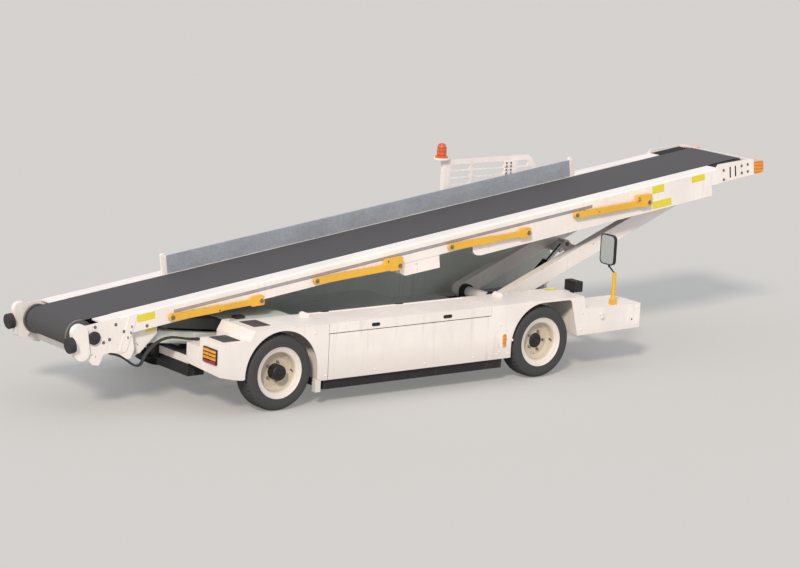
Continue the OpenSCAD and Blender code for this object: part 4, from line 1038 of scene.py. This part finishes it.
SIDE_Y = -0.960
DECK_Z = 0.665
STEP_Z = 0.590
# edges of a thin film, of a film with round corners, and of a small moulding
FILM = {"bevel": 0.0002, "segments": 1}
LABEL = {"corner": 0.006, **FILM}
SMALL = {"bevel": 0.002}
# first and last x of each latch in the lid; its plate; its handle, which is shorter at each end
LATCHES = ((0.849, 0.928), (1.565, 1.652))
LATCH_PLATE = (SIDE_Y - 0.003, SIDE_Y + 0.002, 0.606, 0.634, {"bevel": 0.001, "corner": 0.011, "along": "Y"})
HANDLE_IN = 0.014
HANDLE = (SIDE_Y - 0.009, SIDE_Y - 0.002, 0.613, 0.627, {"corner": 0.006, "along": "Y", **SMALL})
# anti-slip films: first and last x, inner and outer distance from the middle, bottom and top
FILM_TOP = 0.0012
TREADS = (
    (-0.510, -0.350, 0.680, 0.900, STEP_Z, STEP_Z + FILM_TOP),
    (-0.180, -0.020, 0.600, 0.820, DECK_Z, DECK_Z + FILM_TOP),
)
TREAD_EDGES = {"bevel": 0.0003, "segments": 1, "corner": 0.012}
# bolts: the direction they look, then the x, y and z that their places combine
SILL_X = (0.42, 0.9, 1.4, 1.9, 2.26)
BODY_BOLTS = (
    ("-Y", (0.30,), (SIDE_Y,), (0.60,)),
    ("-Y", (2.30,), (SIDE_Y,), (0.36,)),
    ("-Y", (2.17,), (SIDE_Y,), (0.50, 0.27)),
    ("-Y", (3.05, 3.66), (SIDE_Y,), (0.38, 0.52)),
    ("-Y", SILL_X, (SIDE_Y,), (0.25,)),
    ("+Y", SILL_X, (-SIDE_Y,), (0.25, 0.62)),
    ("+Z", (2.5, 2.75, 3.0), (-0.93, -0.60), (DECK_Z,)),
)
# first and last depth of a seam that is drawn on the side panel
SEAM_Y = (SIDE_Y - 0.0006, SIDE_Y + 0.001)
# each box: first and last x, first and last y, bottom and top, and how its edges are rounded
PANEL_SEAMS = (
    (0.4385, 0.4415, *SEAM_Y, 0.214, 0.585, FILM),
    (0.4385, 2.0615, *SEAM_Y, 0.5825, 0.5855, FILM),
    (3.602, 3.618, *SEAM_Y, 0.412, 0.428, {"corner": 0.0075, "along": "Y", **FILM}),
)
TIE_HOOK = (
    (3.245, 3.275, SIDE_Y - 0.022, SIDE_Y, 0.492, 0.500, SMALL),
    (3.245, 3.275, SIDE_Y - 0.022, SIDE_Y - 0.015, 0.460, 0.498, SMALL),
)
DECK_LABEL = (2.905, 3.050, -0.655, -0.585)
DECK_STOPS = (
    (0.62, 0.69, -0.60, -0.565, DECK_Z, DECK_Z + 0.008, {"corner": 0.01, **SMALL}),
    (1.36, 1.43, -0.60, -0.565, DECK_Z, DECK_Z + 0.008, {"corner": 0.01, **SMALL}),
    (-0.115, -0.03, -0.47, -0.40, 0.650, 0.672, {"bevel": 0.005, "segments": 3}),
)


def boxes(name, rows):
    """Blocks that are given as rows, as one piece."""
    parts = []
    for x0, x1, y0, y1, z0, z1, edges in rows:
        parts.append(block(name, (x0, y0, z0), (x1, y1, z1), **edges))
    return join(name, parts)


def both_sides(name, rows, **edges):
    """Blocks on both sides, as one piece: the second pair of a row is its distances from the middle."""
    mirrored = []
    for sign in SIDES.values():
        for x0, x1, near, far, z0, z1 in rows:
            mirrored.append((x0, x1, *sorted((sign * near, sign * far)), z0, z1, edges))
    return boxes(name, mirrored)


class LOADER_OT_body_fittings(bpy.types.Operator):
    """Add the latches, treads, bolts, seams, tie hook and stops of the body"""

    bl_idname = "loader.body_fittings"
    bl_label = "Body fittings"

    def execute(self, context):
        sizes = context.scene.loader_sizes
        latches = []
        for x0, x1 in LATCHES:
            latches += [(x0, x1, *LATCH_PLATE), (x0 + HANDLE_IN, x1 - HANDLE_IN, *HANDLE)]
        settle(boxes("latches", latches), "side_lid", "black_moulding", MACHINE)
        treads = both_sides("treads", TREADS, **TREAD_EDGES)
        settle(treads, "chassis", "grit_film", MACHINE)
        places = []
        for axis, *spans in BODY_BOLTS:
            places += [MACHINE @ facing(Vector(spot), axis) for spot in itertools.product(*spans)]
        bolts = pattern("body_bolts", bolt_head(sizes.bolt * 0.8), places)
        settle(bolts, "chassis", "boom_enamel")
        settle(boxes("panel_seams", PANEL_SEAMS), "chassis", "dark_gap", MACHINE)
        settle(boxes("tie_hook", TIE_HOOK), "chassis", "boom_enamel", MACHINE)
        label = (*DECK_LABEL, DECK_Z, DECK_Z + sizes.label, LABEL)
        settle(boxes("deck_label", [label]), "chassis", "label_film", MACHINE)
        settle(boxes("deck_stops", DECK_STOPS), "chassis", "black_moulding", MACHINE)
        return {"FINISHED"}


# Lamps

# the tail lamps: face of the step that carries them, and the cells in front of it
TAIL_FACE = -0.572
TAIL_HOUSING = (TAIL_FACE - 0.012, TAIL_FACE, 0.73, 0.92, 0.418, 0.540)
HOUSING_EDGES = {"bevel": 0.003, "corner": 0.008, "along": "X"}
CELL_X = (TAIL_FACE - 0.021, TAIL_FACE - 0.010)
CELL_COLUMNS = ((0.737, 0.822), (0.828, 0.913))
CELL_LOW = 0.424
CELL_STEP = 0.0285
CELL_HEIGHT = 0.0215
CELL_ROWS = 4
CELL_EDGE = 0.003
# x and y of the head lamps, and their height
HEAD_LAMPS = ((3.7003, -0.78), (3.9003, 0.78))
HEAD_LAMP_Z = 0.45
# side marker ahead of the sill: a white base under an amber lens
MARKER_BASE = (2.183, 2.229, SIDE_Y - 0.007, SIDE_Y, 0.309, 0.429, {"corner": 0.020, "along": "Y"})
LENS_EDGES = {"bevel": 0.004, "segments": 3, "corner": 0.015, "along": "Y"}
MARKER_LENS = (2.189, 2.223, SIDE_Y - 0.018, SIDE_Y - 0.006, 0.317, 0.421, LENS_EDGES)
WORK_GLASS = (3.174, 3.180, -0.790, -0.655, 0.671, 0.743, {"corner": 0.008, "along": "X"})
WORK_LAMP = (
    (3.098, 3.178, -0.800, -0.645, 0.661, 0.753, {"bevel": 0.008, "segments": 3}),
    (3.120, 3.140, -0.735, -0.695, 0.5563, 0.668, SMALL),
    (3.120, 3.210, -0.735, -0.695, 0.5563, 0.566, SMALL),
)


def lamp_cells(name, rows):
    """Ribbed cells of the tail lamps, in rows counted from below."""
    cells = []
    for columns, row in itertools.product(CELL_COLUMNS, rows):
        low = CELL_LOW + row * CELL_STEP
        cells.append((*CELL_X, *columns, low, low + CELL_HEIGHT))
    return both_sides(name, cells, bevel=CELL_EDGE)


class LOADER_OT_lamps(bpy.types.Operator):
    """Model the tail lamps, head lamps, work lamp and the side marker"""

    bl_idname = "loader.lamps"
    bl_label = "Lamps"

    def execute(self, context):
        housings = both_sides("tail_lamp_housings", [TAIL_HOUSING], **HOUSING_EDGES)
        settle(housings, "chassis", "black_moulding", MACHINE, replaces=("lamps",))
        settle(lamp_cells("tail_lamp_reds", [0]), "chassis", "red_lens", MACHINE)
        tails = lamp_cells("tail_lamp_lenses", range(1, CELL_ROWS))
        settle(tails, "chassis", "tail_lens", MACHINE)
        settle(boxes("marker_base", [MARKER_BASE]), "chassis", "boom_enamel", MACHINE)
        settle(boxes("amber_lenses", [MARKER_LENS]), "chassis", "amber_lens", MACHINE)
        spots = [facing(Vector((x, y, HEAD_LAMP_Z)), "+X") for x, y in HEAD_LAMPS]
        rims = [fitting("head_lamp_rim", spot) for spot in spots]
        glasses = [fitting("head_lamp_glass", spot) for spot in spots]
        settle(join("head_lamp_rims", rims), "chassis", "zinc_steel", MACHINE)
        settle(boxes("work_lamp", WORK_LAMP), "chassis", "black_moulding", MACHINE)
        glasses.append(boxes("work_glass", [WORK_GLASS]))
        settle(join("lamp_glasses", glasses), "chassis", "clear_lens", MACHINE)
        return {"FINISHED"}


# Boom fittings

# blank labels: first and last place along the boom, distance from the middle, lowest and highest
BOOM_LABELS = (
    (-1.03, -0.87, 0.460, -0.078, -0.020),
    (-0.93, -0.84, 0.400, -0.190, -0.140),
    (4.235, 4.375, 0.460, -0.088, -0.020),
    (4.235, 4.455, 0.460, -0.226, -0.158),
    (4.70, 4.86, 0.460, -0.078, -0.020),
)
GROOVE_STRIP = (-0.698, 3.548, 0.4542, 0.4575, -0.0755, -0.0485)
STRIP_EDGE = 0.0015
NOSE_COVER = (5.012, 5.384, 0.320, 0.455, -0.0062, -0.0045)
COVER_EDGES = {"bevel": 0.0004, "segments": 1}
# bolts: distance of their face from the middle, then place along the boom and height
BOOM_BOLTS = (
    (0.457, (5.31, -0.035), (5.385, -0.035), (5.31, -0.10), (5.385, -0.10), (5.09, -0.035), (5.09, -0.12)),
    (0.459, (-1.340, -0.166), (-1.286, -0.154), (-1.220, -0.050), (-1.400, -0.030)),
    (0.460, (-1.155, -0.120), (-0.950, -0.120)),
)
# slots in the nose plates and slits in the tail's strap: middle along the boom and height of each
NOSE_SLOTS = ((5.170, -0.0675), (5.234, -0.0675))
SLOT_SHAPE = {"half": (0.008, 0.0505), "near": 0.4565, "corner": 0.007}
STRAP_SLITS = ((-1.085, -0.096), (-1.098, -0.141), (-1.128, -0.174))
SLIT_SHAPE = {"half": (0.005, 0.011), "near": 0.4645, "corner": 0.004}
OPENING_DEPTH = 0.0011
# place along the boom, distance from the middle and height
BUFFER = (-1.650, 0.470, -0.120)
DRIVE_BOSS = (-1.422, 0.474, -0.110)


def openings(name, spots, half, near, corner):
    """Dark films in the shape of openings, on both faces of the boom."""
    half_s, half_h = half
    far = near + OPENING_DEPTH
    rows = [(s - half_s, s + half_s, near, far, h - half_h, h + half_h) for s, h in spots]
    return both_sides(name, rows, corner=corner, along="Y", **FILM)


class LOADER_OT_boom_fittings(bpy.types.Operator):
    """Add the labels, bolts, slots and buffers of the boom"""

    bl_idname = "loader.boom_fittings"
    bl_label = "Boom fittings"

    def execute(self, context):
        sizes = context.scene.loader_sizes
        rows = [(s0, s1, y, y + sizes.label, h0, h1) for s0, s1, y, h0, h1 in BOOM_LABELS]
        labels = both_sides("boom_labels", rows, along="Y", **LABEL)
        settle(labels, "boom", "label_film", BOOM)
        strips = both_sides("groove_strips", [GROOVE_STRIP], bevel=STRIP_EDGE)
        settle(strips, "boom", "groove_strip", BOOM)
        places = []
        for sign, (y, *spots) in itertools.product(OUTWARD, BOOM_BOLTS):
            places += [BOOM @ facing(Vector((s, sign * y, h)), OUTWARD[sign]) for s, h in spots]
        settle(pattern("boom_bolts", bolt_head(sizes.bolt), places), "boom", "zinc_steel")
        slots = [
            openings("slot", NOSE_SLOTS, **SLOT_SHAPE),
            openings("slit", STRAP_SLITS, **SLIT_SHAPE),
            both_sides("cover", [NOSE_COVER], **COVER_EDGES),
        ]
        settle(join("boom_slots", slots), "boom", "dark_gap", BOOM)
        s, y, h = BUFFER
        buffers = [fitting("buffer", facing(Vector((s, sign * y, h)), "-X")) for sign in OUTWARD]
        settle(join("tail_buffers", buffers), "boom", "bumper_rubber", BOOM)
        s, y, h = DRIVE_BOSS
        bosses = []
        for sign, axis in OUTWARD.items():
            bosses.append(fitting("drive_boss", facing(Vector((s, sign * y, h)), axis)))
        settle(join("drive_bosses", bosses), "boom", "bumper_rubber", BOOM)
        return {"FINISHED"}


# Driver's place

# dials on the slanted top of the dash: y and radius; their x and z, and how the dash leans
DIALS = ((0.600, 0.034), (0.665, 0.022), (0.860, 0.034))
DIAL_X, DIAL_Z = 3.670, 0.950
DASH_LEAN = math.radians(-45)
NEEDLE_TURN = math.radians(40)
DIAL_SIDES = 36
# the needle's low corner, and its high corner on a dial of radius 1
NEEDLE_LOW, NEEDLE_HIGH = (-0.0012, -0.004, 0.0066), (0.0012, 0.7, 0.0078)
# hand levers: x, z and y of each, and how they lean
LEVER_X, LEVER_Z = 3.760, 0.9795
LEVERS = (0.560, 0.600, 0.640)
LEVER_LEAN = math.radians(12)
# bolts in the hinge plates of the guard: x, face and z
GUARD_BOLTS = ((3.336, 3.386), (0.502,), (1.560, 1.530, 1.4975, 1.4675))


def dial(y, radius):
    """Bezel, face and needle of a dial."""
    place = Matrix.Translation((DIAL_X, y, DIAL_Z)) @ turn(DASH_LEAN, "Y")
    inner = radius - 0.005
    rings = [(radius, -0.004), (radius, 0.007), (radius - 0.003, 0.010), (inner, 0.006)]
    bezel = moved(turned("bezel", rings, DIAL_SIDES), place)
    rings = [(inner, 0.003), (inner, 0.0065), (0.004, 0.0068)]
    face = moved(turned("face", rings, DIAL_SIDES), place)
    x, y, z = NEEDLE_HIGH
    needle = block("needle", NEEDLE_LOW, (x, y * radius, z), **FILM)
    return bezel, face, moved(needle, place @ turn(NEEDLE_TURN, "Z"))


class LOADER_OT_driver_fittings(bpy.types.Operator):
    """Add the dials, the hand levers and the bolts of the guard beside the driver"""

    bl_idname = "loader.driver_fittings"
    bl_label = "Driver's fittings"

    def execute(self, context):
        bezels, faces, needles = zip(*(dial(y, radius) for y, radius in DIALS))
        settle(join("dial_bezels", bezels), "chassis", "zinc_steel", MACHINE)
        settle(join("dial_faces", faces), "chassis", "dial_face", MACHINE)
        settle(join("dial_needles", needles), "chassis", "label_film", MACHINE)
        lever = join("lever", [fitting("lever_stem"), fitting("lever_knob")])
        lean = turn(LEVER_LEAN, "Y")
        places = [MACHINE @ Matrix.Translation((LEVER_X, y, LEVER_Z)) @ lean for y in LEVERS]
        settle(pattern("hand_levers", lever, places), "chassis", "black_moulding")
        places = [MACHINE @ facing(Vector(spot), "-Y") for spot in itertools.product(*GUARD_BOLTS)]
        small = context.scene.loader_sizes.bolt * 0.7
        settle(pattern("guard_bolts", bolt_head(small), places), "chassis", "zinc_steel")
        return {"FINISHED"}


# Lift cylinder's pins

# body that carries the pin, x and z of its middle
CYLINDER_PINS = (("chassis", 2.968, 0.330), ("lift_arms", 3.6103, 0.9137))
PIN_HALF = 0.062
PIN_RADIUS = 0.014
PIN_HEAD = 0.0185
# rings of half a pin: radius and distance from its end
PIN_END = ((PIN_HEAD, 0.0), (PIN_HEAD, 0.006), (PIN_RADIUS, 0.007))


class LOADER_OT_pins(bpy.types.Operator):
    """Add the pins that hold both ends of the lift cylinder between their lugs"""

    bl_idname = "loader.pins"
    bl_label = "Cylinder pins"

    def execute(self, context):
        rings = [*PIN_END, *((r, 2 * PIN_HALF - z) for r, z in reversed(PIN_END))]
        for body, x, z in CYLINDER_PINS:
            pin = turned("cylinder_pin_" + body, rings, 32)
            moved(pin, facing(Vector((x, -PIN_HALF, z)), "+Y"))
            settle(pin, body, "zinc_steel", MACHINE)
        return {"FINISHED"}


# Posts and mirror

# the first post's pivot in the boom's frame, the step to the next one and how the posts slope
POST_PIVOT = Vector((0.080, -0.500, -0.138))
POST_STEP = 1.36
POST_COUNT = 4
POST_SLOPE = math.radians(3)
# bolts of a post: place along it and face
POST_BOLTS = ((0.0, -0.0058), (-0.817, 0.0002))


class LOADER_OT_post_fittings(bpy.types.Operator):
    """Add the bolts at both ends of the folding posts"""

    bl_idname = "loader.post_fittings"
    bl_label = "Post fittings"

    def execute(self, context):
        radius = context.scene.loader_sizes.bolt * 1.4
        for n in range(POST_COUNT):
            pivot = Matrix.Translation(POST_PIVOT + Vector((POST_STEP * n, 0, 0)))
            post = BOOM @ pivot @ turn(POST_SLOPE, "Y")
            places = [post @ facing(Vector((s, y, 0.0)), "-Y") for s, y in POST_BOLTS]
            bolts = pattern(f"post_bolts_{n + 1}", bolt_head(radius), places)
            settle(bolts, f"post_{n + 1}", "zinc_steel")
        return {"FINISHED"}


PANE_EDGES = {"corner": 0.035, "along": "X", "bevel": 0.0005, "segments": 1}
MIRROR_PANE = (3.3706, 3.3722, -0.942, -0.778, 0.904, 1.146, PANE_EDGES)
RIM_LOW, RIM_HIGH = (3.3685, -0.9505, 0.8955), (3.3795, -0.7695, 1.1545)
RIM_EDGES = {"bevel": 0, "corner": 0.042, "along": "X", "corner_segments": 8}
RIM_WIDTH = 0.008
RIM_WALL = 0.002


class LOADER_OT_mirror(bpy.types.Operator):
    """Model the mirror's frame and glass"""

    bl_idname = "loader.mirror"
    bl_label = "Mirror"

    def execute(self, context):
        pane = boxes("mirror_glass_pane", [MIRROR_PANE])
        settle(pane, "chassis", "mirror_glass", MACHINE)
        rim = block("mirror_rim", RIM_LOW, RIM_HIGH, **RIM_EDGES)
        bpy.ops.object.mode_set(mode="EDIT")
        pick(rim, "FACE", lambda f: abs(f.normal.x) > PARALLEL)
        bpy.ops.mesh.inset(thickness=RIM_WIDTH)
        bpy.ops.mesh.delete(type="FACE")
        bpy.ops.object.mode_set(mode="OBJECT")
        rim.modifiers.new("wall", "SOLIDIFY").thickness = RIM_WALL
        only(rim)
        bpy.ops.object.modifier_apply(modifier="wall")
        settle(rim, "chassis", "black_moulding", MACHINE)
        return {"FINISHED"}


STEPS = (
    LOADER_OT_stage,
    LOADER_OT_hoses,
    LOADER_OT_finishes,
    LOADER_OT_tyres,
    LOADER_OT_wheel_fittings,
    LOADER_OT_seat,
    LOADER_OT_body_fittings,
    LOADER_OT_lamps,
    LOADER_OT_boom_fittings,
    LOADER_OT_driver_fittings,
    LOADER_OT_pins,
    LOADER_OT_post_fittings,
    LOADER_OT_mirror,
)


class LOADER_PT_panel(bpy.types.Panel):
    """Lists the loader's sizes, colours and steps"""

    bl_idname = "LOADER_PT_panel"
    bl_label = "Belt loader"
    bl_space_type = "VIEW_3D"
    bl_region_type = "UI"
    bl_category = "Belt loader"

    def draw(self, context):
        scene = context.scene
        for group in (scene.loader_sizes, scene.loader_colours):
            box = self.layout.box()
            for name in group.__annotations__:
                box.prop(group, name)
        for step in STEPS:
            self.layout.operator(step.bl_idname)


CLASSES = (LoaderColours, LoaderSizes, *STEPS, LOADER_PT_panel)


def register():
    for cls in CLASSES:
        bpy.utils.register_class(cls)
    bpy.types.Scene.loader_colours = PointerProperty(type=LoaderColours)
    bpy.types.Scene.loader_sizes = PointerProperty(type=LoaderSizes)


def unregister():
    del bpy.types.Scene.loader_sizes
    del bpy.types.Scene.loader_colours
    for cls in reversed(CLASSES):
        bpy.utils.unregister_class(cls)


def main():
    """Registers the add-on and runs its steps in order."""
    register()
    for step in STEPS:
        group, name = step.bl_idname.split(".")
        getattr(getattr(bpy.ops, group), name)()


if __name__ == "__main__":
    main()
